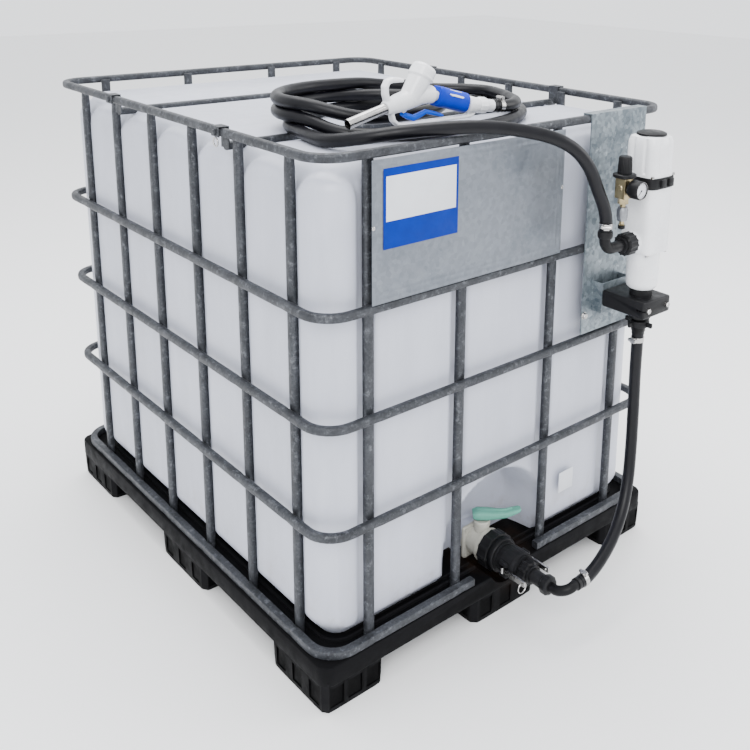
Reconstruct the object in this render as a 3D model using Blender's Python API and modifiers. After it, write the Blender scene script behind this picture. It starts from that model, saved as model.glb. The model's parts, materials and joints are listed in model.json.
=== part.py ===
"""Caged 1000 litre liquid container on a plastic pallet, with a drum-style transfer pump.

Metres, +Z up. The origin is under the middle of the pallet. The outlet side, 1000 mm wide,
faces -Y, and the 1200 mm long sides run along Y.
"""
import math

import bmesh
import bpy
from mathutils import Matrix, Vector

# ---------------------------------------------------------------- driving dimensions
PALLET_X = 1.0
PALLET_Y = 1.2
PALLET_TOP = 0.1050
DECK_UNDER = 0.062
FOOT_X = 0.150
FOOT_Y = 0.200
MIDDLE_FOOT_X = 0.200
MIDDLE_FOOT_Y = 0.220
FOOT_INSET = 0.0025
GAP = 0.0003
WELD = 0.00001

TUBE_R = 0.009
TUBE_WALL = 0.0011
RING_X = 0.485
RING_Y = 0.589
RING_CORNER = 0.060
CORNER_STEPS = 2
BASE_RING_Z = PALLET_TOP + TUBE_R + GAP
RING_LEVELS = (0.372, 0.596, 0.817)
TOP_RING_Z = 1.110
POST_INSET = 2 * TUBE_R + GAP
POST_TOP = TOP_RING_Z
POSTS_X = (-0.370, -0.135, 0.135, 0.370)
POSTS_Y = (-0.466, -0.284, -0.095, 0.095, 0.284, 0.466)
VALVE_GAP = 0.100

TANK_X = 0.455
TANK_Y = 0.556
TANK_TOP = 1.0900
TANK_WALL = 0.003
TANK_ROUND = 0.055
LID_WELL_R = 0.130
LID_WELL_FLOOR = 1.045
NECK_R = 0.078
LID_R = 0.095
LID_TOP = 1.074
BAR_Y = 0.250
BAR_Z = 1.0800

VALVE_Z = 0.130
RECESS_Y = -0.455
RECESS_R = 0.150
RECESS_Z = 0.170
SPIGOT_R = 0.034
BORE_R = 0.026
SPIGOT_END = -0.4860
VALVE_END = -0.5400
HANDLE_Y = -0.5130
LEVER_TURN = math.radians(-38)
LEVER_REACH = 0.090
CHANNEL_R = 0.055
VALVE_NUT_LONG = 0.046
CAM_X = 0.0385
CAM_Y = -0.6206
COUPLER_FRONT = -0.6506
CAM_ARM = 0.068
RING_HOLE = 0.061
REDUCER_LONG = 0.028
ELBOW_R = 0.0115
ELBOW_BEND = 0.026

HOSE_R = 0.0135
PUMP_X = 0.290
PUMP_Y = -0.700
PUMP_HALF = 0.040
MOTOR_TOP = 1.092
COLLAR_TOP = 0.998
MOTOR_BASE = 0.974
CASE_FOOT = 0.829
CYLINDER_R = 0.038
CYLINDER_FOOT = 0.742
NECK_R_PUMP = 0.025
TAIL_R = 0.016
TAIL_FOOT = 0.6305
CLAMP_LOW = 0.686
CLAMP_HIGH = 0.724
CLAMP_BACK = 0.0697
HAND_NUT_Z = 0.650
REGULATOR_X = 0.205
REGULATOR_Z = 0.982
OUTLET_Z = 0.853
OUTLET_FACE = 0.048
BRACKET_FOOT = 0.615
BRACKET_LEFT = 0.210
BRACKET_RIGHT = 0.400
SHELF_LOW = 0.668
SHELF_HIGH = 0.738

LOWER_TURN = ((-0.050, -0.305), (0.290, 0.185))
UPPER_TURNS = ((-0.155, -0.265), (0.190, 0.145))
UPPER_COUNT = 2
COIL_BASE = TANK_TOP + GAP

NOZZLE_Y = -0.450

FEED_ROUTE = (
    (0.152, -0.700, 0.8955), (0.152, -0.700, 0.9180), (0.144, -0.700, 0.9450), (0.120, -0.700, 0.9880),
    (0.088, -0.700, 1.0400), (0.050, -0.693, 1.0800), (0.000, -0.675, 1.1080),
    (-0.070, -0.640, 1.1260), (-0.140, -0.612, 1.1345), (-0.210, -0.582, 1.1345),
    (-0.278, -0.550, 1.1300), (-0.335, -0.500, 1.1180), (-0.362, -0.435, 1.1060),
    (-0.3596, -0.398, 1.1040), (-0.3545, -0.3625, 1.1038),
)
COIL_LEAD = ((-0.354, -0.360), (-0.343, -0.310))
TAIL_ROUTE = (
    (0.0668, -0.450, 1.1344), (0.0900, -0.450, 1.1315), (0.125, -0.443, 1.1312),
    (0.160, -0.418, 1.1312), (0.185, -0.376, 1.1312), (0.209, -0.324, 1.1312),
    (0.224, -0.258, 1.1312),
)
SUCTION_ROUTE = (
    (0.0450, -0.7700, 0.1420), (0.065, -0.770, 0.1420), (0.090, -0.7690, 0.1490), (0.125, -0.766, 0.1650),
    (0.175, -0.755, 0.1900), (0.222, -0.740, 0.2300), (0.255, -0.726, 0.2850),
    (0.275, -0.714, 0.3500), (0.285, -0.706, 0.4400), (0.2895, -0.7005, 0.5300),
    (0.290, -0.700, 0.5900), (0.290, -0.700, 0.6300),
)

COLOURS = {
    "galvanised": ((0.42, 0.44, 0.47), 0.45, 1.0),
    "bright_zinc": ((0.55, 0.60, 0.63), 0.35, 1.0),
    "tank_white": ((0.78, 0.80, 0.83), 0.45, 0.0),
    "pallet_black": ((0.025, 0.025, 0.028), 0.65, 0.0),
    "fitting_black": ((0.018, 0.018, 0.020), 0.50, 0.0),
    "hose_black": ((0.020, 0.020, 0.022), 0.42, 0.0),
    "pump_white": ((0.83, 0.84, 0.86), 0.30, 0.0),
    "valve_cream": ((0.70, 0.69, 0.64), 0.50, 0.0),
    "lever_green": ((0.28, 0.60, 0.50), 0.45, 0.0),
    "grip_blue": ((0.01, 0.13, 0.72), 0.40, 0.0),
    "trigger_blue": ((0.01, 0.24, 0.86), 0.35, 0.0),
    "steel": ((0.72, 0.71, 0.70), 0.22, 1.0),
    "brass": ((0.70, 0.52, 0.24), 0.30, 1.0),
    "knurl_grey": ((0.50, 0.51, 0.53), 0.35, 1.0),
}

Y_AXIS = Matrix.Rotation(math.radians(90), 4, "X")
Z_AXIS = Matrix.Identity(4)


# ---------------------------------------------------------------- scene and materials
def clear_scene():
    for scene_object in list(bpy.data.objects):
        bpy.data.objects.remove(scene_object, do_unlink=True)


def new_collection(name):
    collection = bpy.data.collections.new(name)
    bpy.context.scene.collection.children.link(collection)
    return collection


def material(name):
    found = bpy.data.materials.get(name)
    if found:
        return found
    colour, roughness, metallic = COLOURS[name]
    made = bpy.data.materials.new(name)
    made.use_nodes = True
    shader = made.node_tree.nodes["Principled BSDF"]
    shader.inputs["Base Color"].default_value = (*colour, 1.0)
    shader.inputs["Roughness"].default_value = roughness
    shader.inputs["Metallic"].default_value = metallic
    made.diffuse_color = (*colour, 1.0)
    return made


clear_scene()
PARTS = new_collection("caged_container_with_pump")
CUTTERS = new_collection("cutters")


def keep(item, name, colour):
    """Name an object, give it its material and put it with the parts."""
    item.name = name
    item.data.name = name
    item.data.materials.clear()
    item.data.materials.append(material(colour))
    for collection in list(item.users_collection):
        collection.objects.unlink(item)
    PARTS.objects.link(item)
    return item


def as_helper(item):
    """Put an object with the cutters, where the part leaves it out."""
    for collection in list(item.users_collection):
        collection.objects.unlink(item)
    CUTTERS.objects.link(item)
    item.hide_render = True
    item.display_type = "WIRE"
    return item


def apply_modifiers(item):
    """Bake an object's modifiers, or a curve's shape with its caps welded on, into a plain mesh."""
    depsgraph = bpy.context.evaluated_depsgraph_get()
    baked = bpy.data.meshes.new_from_object(item.evaluated_get(depsgraph))
    if item.type == "MESH":
        item.modifiers.clear()
        item.data = baked
        return item
    work = bmesh.new()
    work.from_mesh(baked)
    bmesh.ops.remove_doubles(work, verts=work.verts, dist=WELD)
    work.to_mesh(baked)
    work.free()
    fresh = bpy.data.objects.new(item.name, baked)
    fresh.matrix_world = item.matrix_world
    bpy.context.scene.collection.objects.link(fresh)
    bpy.data.objects.remove(item, do_unlink=True)
    return fresh


def smooth(item, angle=35):
    item.data.shade_smooth()
    item.data.set_sharp_from_angle(angle=math.radians(angle))
    return item


# ---------------------------------------------------------------- shapes
def box(centre, size, bevel=0.0, segments=1):
    """A box whose scale is applied, so that a bevel keeps its width."""
    bpy.ops.mesh.primitive_cube_add(size=1.0, location=centre)
    item = bpy.context.object
    item.data.transform(Matrix.Diagonal((*size, 1.0)))
    if bevel:
        edge = item.modifiers.new("edge", "BEVEL")
        edge.width = bevel
        edge.segments = segments
    return item


def block(low, high, bevel=0.0, segments=1):
    centre = [(a + b) / 2 for a, b in zip(low, high)]
    size = [b - a for a, b in zip(low, high)]
    return box(centre, size, bevel, segments)


def rod(start, end, radius, sides=20, end_radius=None):
    """A closed cylinder or cone from start to end, with its origin at start."""
    start = Vector(start)
    span = Vector(end) - start
    mesh = bpy.data.meshes.new("rod")
    work = bmesh.new()
    bmesh.ops.create_cone(
        work, cap_ends=True, segments=sides, radius1=radius,
        radius2=radius if end_radius is None else end_radius, depth=span.length,
    )
    bmesh.ops.translate(work, verts=work.verts, vec=(0, 0, span.length / 2))
    work.to_mesh(mesh)
    work.free()
    item = bpy.data.objects.new("rod", mesh)
    item.matrix_world = Matrix.Translation(start) @ span.to_track_quat("Z", "Y").to_matrix().to_4x4()
    bpy.context.scene.collection.objects.link(item)
    return item


def turned(profile, place, axis=Z_AXIS, steps=24):
    """Turn a profile of (radius, height) pairs, listed down the outer side."""
    mesh = bpy.data.meshes.new("turned")
    work = bmesh.new()
    points = [work.verts.new((radius, 0, height)) for radius, height in profile]
    for first, second in zip(points, points[1:]):
        work.edges.new((first, second))
    if profile[0][0] > 0 and profile[-1][0] > 0:
        work.edges.new((points[-1], points[0]))
    work.to_mesh(mesh)
    work.free()
    item = bpy.data.objects.new("turned", mesh)
    item.matrix_world = Matrix.Translation(place) @ axis
    bpy.context.scene.collection.objects.link(item)
    screw = item.modifiers.new("turn", "SCREW")
    screw.steps = steps
    screw.render_steps = steps
    screw.use_merge_vertices = True
    screw.merge_threshold = WELD
    screw.use_normal_calculate = False
    return item


def curve_object(points, radius, resolution=2, capped=True):
    """A tube along straight stretches between its points."""
    data = bpy.data.curves.new("tube", "CURVE")
    data.dimensions = "3D"
    data.bevel_depth = radius
    data.bevel_resolution = resolution
    data.use_fill_caps = capped
    spline = data.splines.new("POLY")
    spline.points.add(len(points) - 1)
    for slot, point in zip(spline.points, points):
        slot.co = (*point, 1.0)
    item = bpy.data.objects.new("tube", data)
    bpy.context.scene.collection.objects.link(item)
    return item


def hollow_tube(points, radius, wall):
    """An open-ended tube with a wall, as steel tube is."""
    item = curve_object(points, radius, capped=False)
    item = apply_modifiers(item)
    wall_thickness = item.modifiers.new("wall", "SOLIDIFY")
    wall_thickness.thickness = wall
    wall_thickness.offset = -1.0
    return smooth(item)


def outline_plate(outline, thickness, matrix):
    """A flat plate from a closed outline in its own XY plane."""
    data = bpy.data.curves.new("plate", "CURVE")
    data.dimensions = "2D"
    data.fill_mode = "BOTH"
    data.extrude = thickness / 2
    spline = data.splines.new("POLY")
    spline.points.add(len(outline) - 1)
    for slot, (across, along) in zip(spline.points, outline):
        slot.co = (across, along, 0, 1)
    spline.use_cyclic_u = True
    item = bpy.data.objects.new("plate", data)
    item.matrix_world = matrix
    bpy.context.scene.collection.objects.link(item)
    return apply_modifiers(item)


def combine(item, operation, helpers):
    """Join or cut an object with helper objects, and bake the result."""
    for helper in helpers:
        as_helper(helper)
        step = item.modifiers.new("combine", "BOOLEAN")
        step.operation = operation
        step.object = helper
    return apply_modifiers(item)


def smooth_route(points, spacing):
    """Evenly spaced points on a smooth curve through a route, whose end stretches stay straight."""
    route = [Vector(point) for point in points]
    dense = []
    for before, here, after, beyond in zip(route, route[1:], route[2:], route[3:]):
        for part in range(12):
            t = part / 12
            dense.append(0.5 * (
                2 * here + (after - before) * t
                + (2 * before - 5 * here + 4 * after - beyond) * t ** 2
                + (3 * here - before - 3 * after + beyond) * t ** 3
            ))
    dense.append(route[-2])
    length = sum((b - a).length for a, b in zip(dense, dense[1:]))
    count = round(length / spacing)
    even = [dense[0]]
    walked = 0.0
    for first, second in zip(dense, dense[1:]):
        step = (second - first).length
        while len(even) < count and walked + step >= len(even) * length / count:
            share = (len(even) * length / count - walked) / step
            even.append(first.lerp(second, share))
        walked += step
    return [route[0]] + even + [dense[-1], route[-1]]


# ---------------------------------------------------------------- cage
def ring_path(half_x, half_y, level, gap_y, gap):
    """A rounded rectangle with one opening of width gap on the side towards gap_y."""
    corners = [(-gap_y, gap_y), (-gap_y, -gap_y), (gap_y, -gap_y), (gap_y, gap_y)]
    start_x = -gap_y * gap / 2
    points = [(start_x, gap_y * half_y, level)]
    for index, (side_x, side_y) in enumerate(corners):
        centre_x = side_x * (half_x - RING_CORNER)
        centre_y = side_y * (half_y - RING_CORNER)
        start = math.atan2(gap_y, 0) + index * math.pi / 2
        for part in range(CORNER_STEPS + 1):
            turn = start + part * math.pi / 2 / CORNER_STEPS
            points.append((
                centre_x + RING_CORNER * math.cos(turn),
                centre_y + RING_CORNER * math.sin(turn),
                level,
            ))
    points.append((-start_x, gap_y * half_y, level))
    return points


def cage_rings():
    seam = 0.002
    base = hollow_tube(ring_path(RING_X, RING_Y, BASE_RING_Z, -1, 2 * VALVE_GAP), TUBE_R, TUBE_WALL)
    keep(base, "ring_base", "galvanised")
    for index, level in enumerate(RING_LEVELS):
        ring = hollow_tube(ring_path(RING_X, RING_Y, level, 1, seam), TUBE_R, TUBE_WALL)
        keep(ring, f"ring_{index + 1}", "galvanised")
    top = hollow_tube(ring_path(RING_X, RING_Y, TOP_RING_Z, 1, seam), TUBE_R, TUBE_WALL)
    keep(top, "ring_top", "galvanised")


def post(name, foot, inward):
    """An upright that stands on the deck inside the rings and ends behind the top rail."""
    inner = Vector(foot) + Vector(inward) * POST_INSET
    points = [(inner.x, inner.y, PALLET_TOP + GAP), (inner.x, inner.y, POST_TOP)]
    return keep(hollow_tube(points, TUBE_R, TUBE_WALL), name, "galvanised")


def cage_posts():
    for index, across in enumerate(POSTS_X):
        post(f"post_front_{index + 1}", (across, -RING_Y, 0), (0, 1, 0))
        post(f"post_rear_{index + 1}", (across, RING_Y, 0), (0, -1, 0))
    for index, along in enumerate(POSTS_Y):
        post(f"post_left_{index + 1}", (-RING_X, along, 0), (1, 0, 0))
        post(f"post_right_{index + 1}", (RING_X, along, 0), (-1, 0, 0))


def top_bars():
    """Two cross bars lie in grooves of the tank and end in plates that hook over the top rail."""
    for name, along in (("top_bar_front", -BAR_Y), ("top_bar_rear", BAR_Y)):
        bar_end = RING_X - TUBE_R - 0.0015
        bar = rod((-bar_end, along, BAR_Z), (bar_end, along, BAR_Z), TUBE_R, sides=8)
        hooks = []
        for side in (-1, 1):
            inner = RING_X - TUBE_R - GAP
            outer = RING_X + TUBE_R + GAP
            rail_top = TOP_RING_Z + TUBE_R + GAP
            thick = 0.0025
            outline = [
                (inner - thick, BAR_Z - 0.004), (inner, BAR_Z - 0.004), (inner, rail_top),
                (outer, rail_top), (outer, TOP_RING_Z - TUBE_R), (outer + thick, TOP_RING_Z - TUBE_R),
                (outer + thick, rail_top + thick), (inner - thick, rail_top + thick),
            ]
            if side < 0:
                outline = [(-across, up) for across, up in reversed(outline)]
            upright = Matrix.Translation((0, along, 0)) @ Y_AXIS
            hooks.append(outline_plate(outline, 0.030, upright))
        keep(smooth(combine(bar, "UNION", hooks)), name, "galvanised")


# ---------------------------------------------------------------- pallet and tank
def foot_places():
    """Where the nine feet stand, the outer ones flush with the deck's edges."""
    for side_x in (-1, 0, 1):
        for side_y in (-1, 0, 1):
            size_x = FOOT_X if side_x else MIDDLE_FOOT_X
            size_y = FOOT_Y if side_y else MIDDLE_FOOT_Y
            centre_x = side_x * (PALLET_X / 2 - FOOT_INSET - size_x / 2)
            centre_y = side_y * (PALLET_Y / 2 - FOOT_INSET - size_y / 2)
            yield centre_x, centre_y, size_x, size_y


def pallet():
    deck = block(
        (-PALLET_X / 2, -PALLET_Y / 2, DECK_UNDER), (PALLET_X / 2, PALLET_Y / 2, PALLET_TOP), 0.012,
    )
    deck = apply_modifiers(deck)
    feet = [
        block((x - size_x / 2, y - size_y / 2, 0), (x + size_x / 2, y + size_y / 2, DECK_UNDER + 0.010))
        for x, y, size_x, size_y in foot_places()
    ]
    whole = combine(deck, "UNION", feet)
    outlet_channel = rod((0, -PALLET_Y / 2 - 0.02, VALVE_Z), (0, RECESS_Y + 0.02, VALVE_Z), CHANNEL_R, 24)
    keep(combine(whole, "DIFFERENCE", [outlet_channel]), "pallet", "pallet_black")


def bottle_form(inset):
    """The tank's outer form, or with an inset the form of its inside."""
    form = block(
        (-TANK_X + inset, -TANK_Y + inset, PALLET_TOP + GAP + inset),
        (TANK_X - inset, TANK_Y - inset, TANK_TOP - inset), TANK_ROUND - inset, 3,
    )
    form = apply_modifiers(form)
    cuts = [
        rod((0, -TANK_Y - 0.02, RECESS_Z), (0, RECESS_Y + inset, RECESS_Z), RECESS_R + inset, 24),
        block((-RECESS_R - inset, -TANK_Y - 0.02, 0.05), (RECESS_R + inset, RECESS_Y + inset, RECESS_Z)),
        rod((0, 0, LID_WELL_FLOOR - inset), (0, 0, TANK_TOP + 0.02), LID_WELL_R + inset, 28),
    ]
    for along in (-BAR_Y, BAR_Y):
        cuts.append(block(
            (-TANK_X - 0.02, along - 0.012 - inset, BAR_Z - 0.010 - inset),
            (TANK_X + 0.02, along + 0.012 + inset, TANK_TOP + 0.02),
        ))
    form = combine(form, "DIFFERENCE", cuts)
    spigot_r = BORE_R if inset else SPIGOT_R
    past_end = 0.02 if inset else 0.0
    pipes = [
        rod((0, RECESS_Y + 0.02, VALVE_Z), (0, SPIGOT_END - past_end, VALVE_Z), spigot_r, 20),
        rod((0, 0, LID_WELL_FLOOR - 0.01), (0, 0, LID_TOP - 0.008 + past_end), NECK_R - inset, 24),
    ]
    return combine(form, "UNION", pipes)


def tank():
    bottle = combine(bottle_form(0.0), "DIFFERENCE", [bottle_form(TANK_WALL)])
    keep(smooth(bottle), "tank_bottle", "tank_white")
    skirt_foot = LID_WELL_FLOOR + 0.004
    inner = NECK_R + 0.001
    underside = LID_TOP - 0.007
    profile = [
        (0, LID_TOP), (LID_R - 0.004, LID_TOP), (LID_R, LID_TOP - 0.004), (LID_R, skirt_foot),
        (inner, skirt_foot), (inner, underside), (0, underside),
    ]
    lid = turned([(radius, height - LID_TOP) for radius, height in profile], (0, 0, LID_TOP), steps=28)
    keep(smooth(apply_modifiers(lid)), "lid", "fitting_black")


# ---------------------------------------------------------------- outlet valve and couplings
def ring_profile(outer, inner, low, high, chamfer=0.0):
    """The closed outline of a ring, listed down its outer side."""
    if not chamfer:
        return [(inner, high), (outer, high), (outer, low), (inner, low)]
    return [
        (inner, high), (outer - chamfer, high), (outer, high - chamfer),
        (outer, low + chamfer), (outer - chamfer, low), (inner, low),
    ]


def pipe_along_y(outer, inner, front, back, steps=24, chamfer=0.0):
    """A turned ring on the outlet's axis, between two places along Y."""
    profile = ring_profile(outer, inner, 0.0, back - front, chamfer)
    to_back = Matrix.Rotation(math.radians(-90), 4, "X")
    return apply_modifiers(turned(profile, (0, front, VALVE_Z), to_back, steps))


def valve():
    body = rod((0, VALVE_END, VALVE_Z), (0, SPIGOT_END - GAP, VALVE_Z), 0.040, 24)
    tower = rod((0, HANDLE_Y, VALVE_Z + 0.030), (0, HANDLE_Y, VALVE_Z + 0.058), 0.020, 20)
    body = combine(body, "UNION", [tower])
    cuts = [
        rod((0, VALVE_END - 0.02, VALVE_Z), (0, SPIGOT_END + 0.02, VALVE_Z), BORE_R, 24),
        rod((0, HANDLE_Y, VALVE_Z), (0, HANDLE_Y, VALVE_Z + 0.080), 0.0064, 16),
    ]
    keep(smooth(combine(body, "DIFFERENCE", cuts)), "valve_body", "valve_cream")

    handle = block((-0.023, -0.017, 0.059), (0.019, 0.017, 0.083))
    pieces = [
        rod((0, 0, 0), (0, 0, 0.065), 0.006, 12),
        rod((0, 0.002, 0), (0, -0.002, 0), BORE_R - 0.0008, 24),
        block((0.010, -0.014, 0.061), (0.056, 0.014, 0.080)),
        block((0.048, -0.012, 0.068), (LEVER_REACH, 0.012, 0.084)),
    ]
    handle = combine(handle, "UNION", pieces)
    turned_to = Matrix.Translation((0, HANDLE_Y, VALVE_Z)) @ Matrix.Rotation(LEVER_TURN, 4, "Z")
    handle.matrix_world = turned_to @ handle.matrix_basis
    keep(handle, "valve_handle", "lever_green")


def lobed_nut(name, outer, inner, front, back, lobes):
    """A round nut with hand lugs round its rim."""
    nut = pipe_along_y(outer, inner, front, back, 24, 0.002)
    lugs = []
    reach = outer + 0.006
    root = (outer + inner) / 2
    for index in range(lobes):
        turn = 2 * math.pi * index / lobes
        lug = box((0, 0, 0), (0.4 * outer, back - front - 0.004, reach - root))
        lug.data.transform(Matrix.Translation((0, 0, (reach + root) / 2)))
        lug.matrix_world = Matrix.Translation((0, (front + back) / 2, VALVE_Z)) @ Matrix.Rotation(turn, 4, "Y")
        lugs.append(lug)
    return keep(smooth(combine(nut, "UNION", lugs)), name, "fitting_black")


def couplings():
    """Valve nut, camlock coupler with two cam levers, reducing nut and the hose elbow."""
    front = VALVE_END - GAP
    lobed_nut("valve_nut", 0.043, BORE_R + 0.004, front - VALVE_NUT_LONG, front, 8)

    adapter = pipe_along_y(0.031, 0.020, COUPLER_FRONT, front - VALVE_NUT_LONG - GAP)
    rim = pipe_along_y(0.0345, 0.028, CAM_Y - 0.016, CAM_Y + 0.016)
    adapter = combine(adapter, "UNION", [rim])
    slots = [
        block((side * 0.0285 - 0.008, CAM_Y - 0.008, VALVE_Z - 0.008),
              (side * 0.0285 + 0.008, CAM_Y + 0.008, VALVE_Z + 0.008)) for side in (-1, 1)
    ]
    adapter = combine(adapter, "DIFFERENCE", slots)
    keep(smooth(adapter), "cam_coupler", "fitting_black")

    for name, side in (("cam_lever_left", -1), ("cam_lever_right", 1)):
        arm_x = side * CAM_X
        lever = rod((arm_x, CAM_Y, VALVE_Z - 0.0070), (arm_x, CAM_Y, VALVE_Z + 0.0070), 0.0045, 12)
        half = 0.0022
        arm = block(
            (arm_x - half, CAM_Y - CAM_ARM, VALVE_Z - 0.0060), (arm_x + half, CAM_Y + 0.002, VALVE_Z + 0.0060),
        )
        lever = combine(lever, "UNION", [arm])
        hole_y = CAM_Y - RING_HOLE
        hole = rod((arm_x - 0.02, hole_y, VALVE_Z), (arm_x + 0.02, hole_y, VALVE_Z), 0.0029, 12)
        keep(combine(lever, "DIFFERENCE", [hole]), name, "steel")

    reducer_back = COUPLER_FRONT - GAP
    reducer_front = reducer_back - REDUCER_LONG
    lobed_nut("reducer_nut", 0.0245, 0.0165, reducer_front, reducer_back, 8)

    hose_start = Vector(SUCTION_ROUTE[0])
    arc = [(0, reducer_front - GAP, VALVE_Z)]
    steps = 6
    for part in range(steps + 1):
        turn = math.radians(90) * part / steps
        across = ELBOW_BEND * (1 - math.cos(turn))
        along = hose_start.y + ELBOW_BEND * (1 - math.sin(turn))
        arc.append((across, along, VALVE_Z + (hose_start.z - VALVE_Z) * part / steps))
    arc.append((hose_start.x - GAP, hose_start.y, hose_start.z))
    collars = [
        rod((0, reducer_front - GAP, VALVE_Z), (0, reducer_front - 0.030, VALVE_Z), 0.016),
        rod((0, reducer_front - 0.032, VALVE_Z), (0, reducer_front - 0.052, VALVE_Z), 0.021, 8),
    ]
    elbow = combine(apply_modifiers(curve_object(arc, ELBOW_R, 3)), "UNION", collars)
    keep(smooth(elbow), "suction_elbow", "fitting_black")


def finger_ring():
    """The pull ring that hangs from the end of the left cam lever."""
    bpy.ops.mesh.primitive_torus_add(
        major_segments=20, minor_segments=6, major_radius=0.0120, minor_radius=0.0012,
        location=(-CAM_X, CAM_Y - RING_HOLE, VALVE_Z), rotation=(0, 0, 0),
    )
    ring = bpy.context.object
    ring.data.transform(Matrix.Translation((0, 0, -0.0112)) @ Matrix.Rotation(math.radians(90), 4, "X"))
    keep(smooth(ring), "finger_ring", "steel")


# ---------------------------------------------------------------- pump
def pump_bracket():
    """A sheet that hooks over the top rail, with a stand-off box for the pump's clamp."""
    inner = RING_Y - TUBE_R - GAP
    outer = RING_Y + TUBE_R + GAP
    rail_top = TOP_RING_Z + TUBE_R + GAP
    hook_end = TOP_RING_Z + 0.002
    thick = 0.003
    outline = [
        (-inner + thick, hook_end), (-inner + thick, rail_top + thick),
        (-outer - thick, rail_top + thick), (-outer - thick, BRACKET_FOOT), (-outer, BRACKET_FOOT),
        (-outer, rail_top), (-inner, rail_top), (-inner, hook_end),
    ]
    along_x = Matrix(((0, 0, 1, 0), (1, 0, 0, 0), (0, 1, 0, 0), (0, 0, 0, 1)))
    middle = Matrix.Translation(((BRACKET_LEFT + BRACKET_RIGHT) / 2, 0, 0))
    sheet = outline_plate(outline, BRACKET_RIGHT - BRACKET_LEFT, middle @ along_x)
    box_back = -outer - thick + 0.001
    box_front = PUMP_Y + CLAMP_BACK + GAP
    half = 0.048
    walls = [
        block((PUMP_X - half, box_front, SHELF_LOW), (PUMP_X - half + thick, box_back, SHELF_HIGH)),
        block((PUMP_X + half - thick, box_front, SHELF_LOW), (PUMP_X + half, box_back, SHELF_HIGH)),
        block((PUMP_X - half, box_front, SHELF_LOW), (PUMP_X + half, box_front + thick, SHELF_HIGH)),
    ]
    keep(combine(sheet, "UNION", walls), "pump_bracket", "bright_zinc")


def pump_square(half, low, high, bevel):
    """A square block round the pump's axis."""
    return apply_modifiers(block(
        (PUMP_X - half, PUMP_Y - half, low), (PUMP_X + half, PUMP_Y + half, high), bevel, 2,
    ))


def pump():
    clamp_half = 0.048
    low = (PUMP_X - clamp_half, PUMP_Y - 0.046, CLAMP_LOW)
    high = (PUMP_X + clamp_half, PUMP_Y + CLAMP_BACK, CLAMP_HIGH)
    clamp = apply_modifiers(block(low, high, 0.004))
    below = CLAMP_LOW - 0.01
    above = CLAMP_HIGH + 0.01
    hole = rod((PUMP_X, PUMP_Y, below), (PUMP_X, PUMP_Y, above), NECK_R_PUMP + GAP, 24)
    keep(combine(clamp, "DIFFERENCE", [hole]), "clamp_block", "fitting_black")

    lower_part = [
        (0, CASE_FOOT + 0.010), (CYLINDER_R, CASE_FOOT + 0.010), (CYLINDER_R, CYLINDER_FOOT + 0.009),
        (CYLINDER_R - 0.004, CYLINDER_FOOT), (NECK_R_PUMP, CYLINDER_FOOT), (NECK_R_PUMP, CLAMP_LOW - 0.015),
        (TAIL_R, CLAMP_LOW - 0.016), (TAIL_R, TAIL_FOOT + 0.008), (TAIL_R - 0.0015, TAIL_FOOT + 0.006),
        (TAIL_R - 0.0015, TAIL_FOOT), (0, TAIL_FOOT),
    ]
    boss_start = (PUMP_X - PUMP_HALF + 0.005, PUMP_Y, OUTLET_Z)
    boss = rod(boss_start, (PUMP_X - OUTLET_FACE, PUMP_Y, OUTLET_Z), 0.0235, 24)
    pieces = [apply_modifiers(turned(lower_part, (PUMP_X, PUMP_Y, 0))), boss]
    case = combine(pump_square(PUMP_HALF, CASE_FOOT, MOTOR_BASE - GAP, 0.007), "UNION", pieces)
    keep(smooth(case), "pump_body", "pump_white")

    cap = [
        (0, MOTOR_TOP), (0.029, MOTOR_TOP), (0.031, MOTOR_TOP - 0.003),
        (0.031, MOTOR_TOP - 0.020), (0, MOTOR_TOP - 0.020),
    ]
    pieces = [
        pump_square(PUMP_HALF + 0.003, MOTOR_BASE, COLLAR_TOP, 0.005),
        apply_modifiers(turned(cap, (PUMP_X, PUMP_Y, 0))),
    ]
    motor = combine(pump_square(PUMP_HALF, MOTOR_BASE + 0.004, MOTOR_TOP - 0.012, 0.010), "UNION", pieces)
    keep(smooth(motor), "motor_housing", "pump_white")

    height = 0.014
    profile = ring_profile(0.024, TAIL_R + 0.0006, 0, height, 0.002)
    wing = apply_modifiers(turned(profile, (PUMP_X, PUMP_Y, HAND_NUT_Z)))
    wings = [
        block((PUMP_X + side * 0.028 - 0.008, PUMP_Y - 0.004, HAND_NUT_Z + 0.004),
              (PUMP_X + side * 0.028 + 0.008, PUMP_Y + 0.004, HAND_NUT_Z + height - 0.004)) for side in (-1, 1)
    ]
    keep(smooth(combine(wing, "UNION", wings)), "wing_nut", "fitting_black")


def pump_outlet():
    """Elbow with its union nut, which turns up into the delivery hose."""
    start_x = PUMP_X - OUTLET_FACE - GAP
    along_minus_x = Matrix.Rotation(math.radians(-90), 4, "Y")
    nut = turned(
        [(0, 0.030), (0.021, 0.030), (0.024, 0.027), (0.024, 0.003), (0.021, 0), (0, 0)],
        (start_x, PUMP_Y, OUTLET_Z), along_minus_x, 20,
    )

    end = Vector(FEED_ROUTE[0])
    bend = 0.024
    points = [(start_x - 0.001, PUMP_Y, OUTLET_Z)]
    for part in range(6):
        turn = math.radians(90) * part / 5
        points.append((
            end.x + bend - bend * math.sin(turn), PUMP_Y, OUTLET_Z + bend - bend * math.cos(turn),
        ))
    points.append((end.x, end.y, end.z - GAP))
    elbow = apply_modifiers(curve_object(points, 0.0125, 3))
    collar = rod((end.x, end.y, end.z - 0.014), (end.x, end.y, end.z - 0.004), 0.0160, 16)
    keep(smooth(combine(elbow, "UNION", [apply_modifiers(nut), collar])), "outlet_elbow", "fitting_black")


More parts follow.
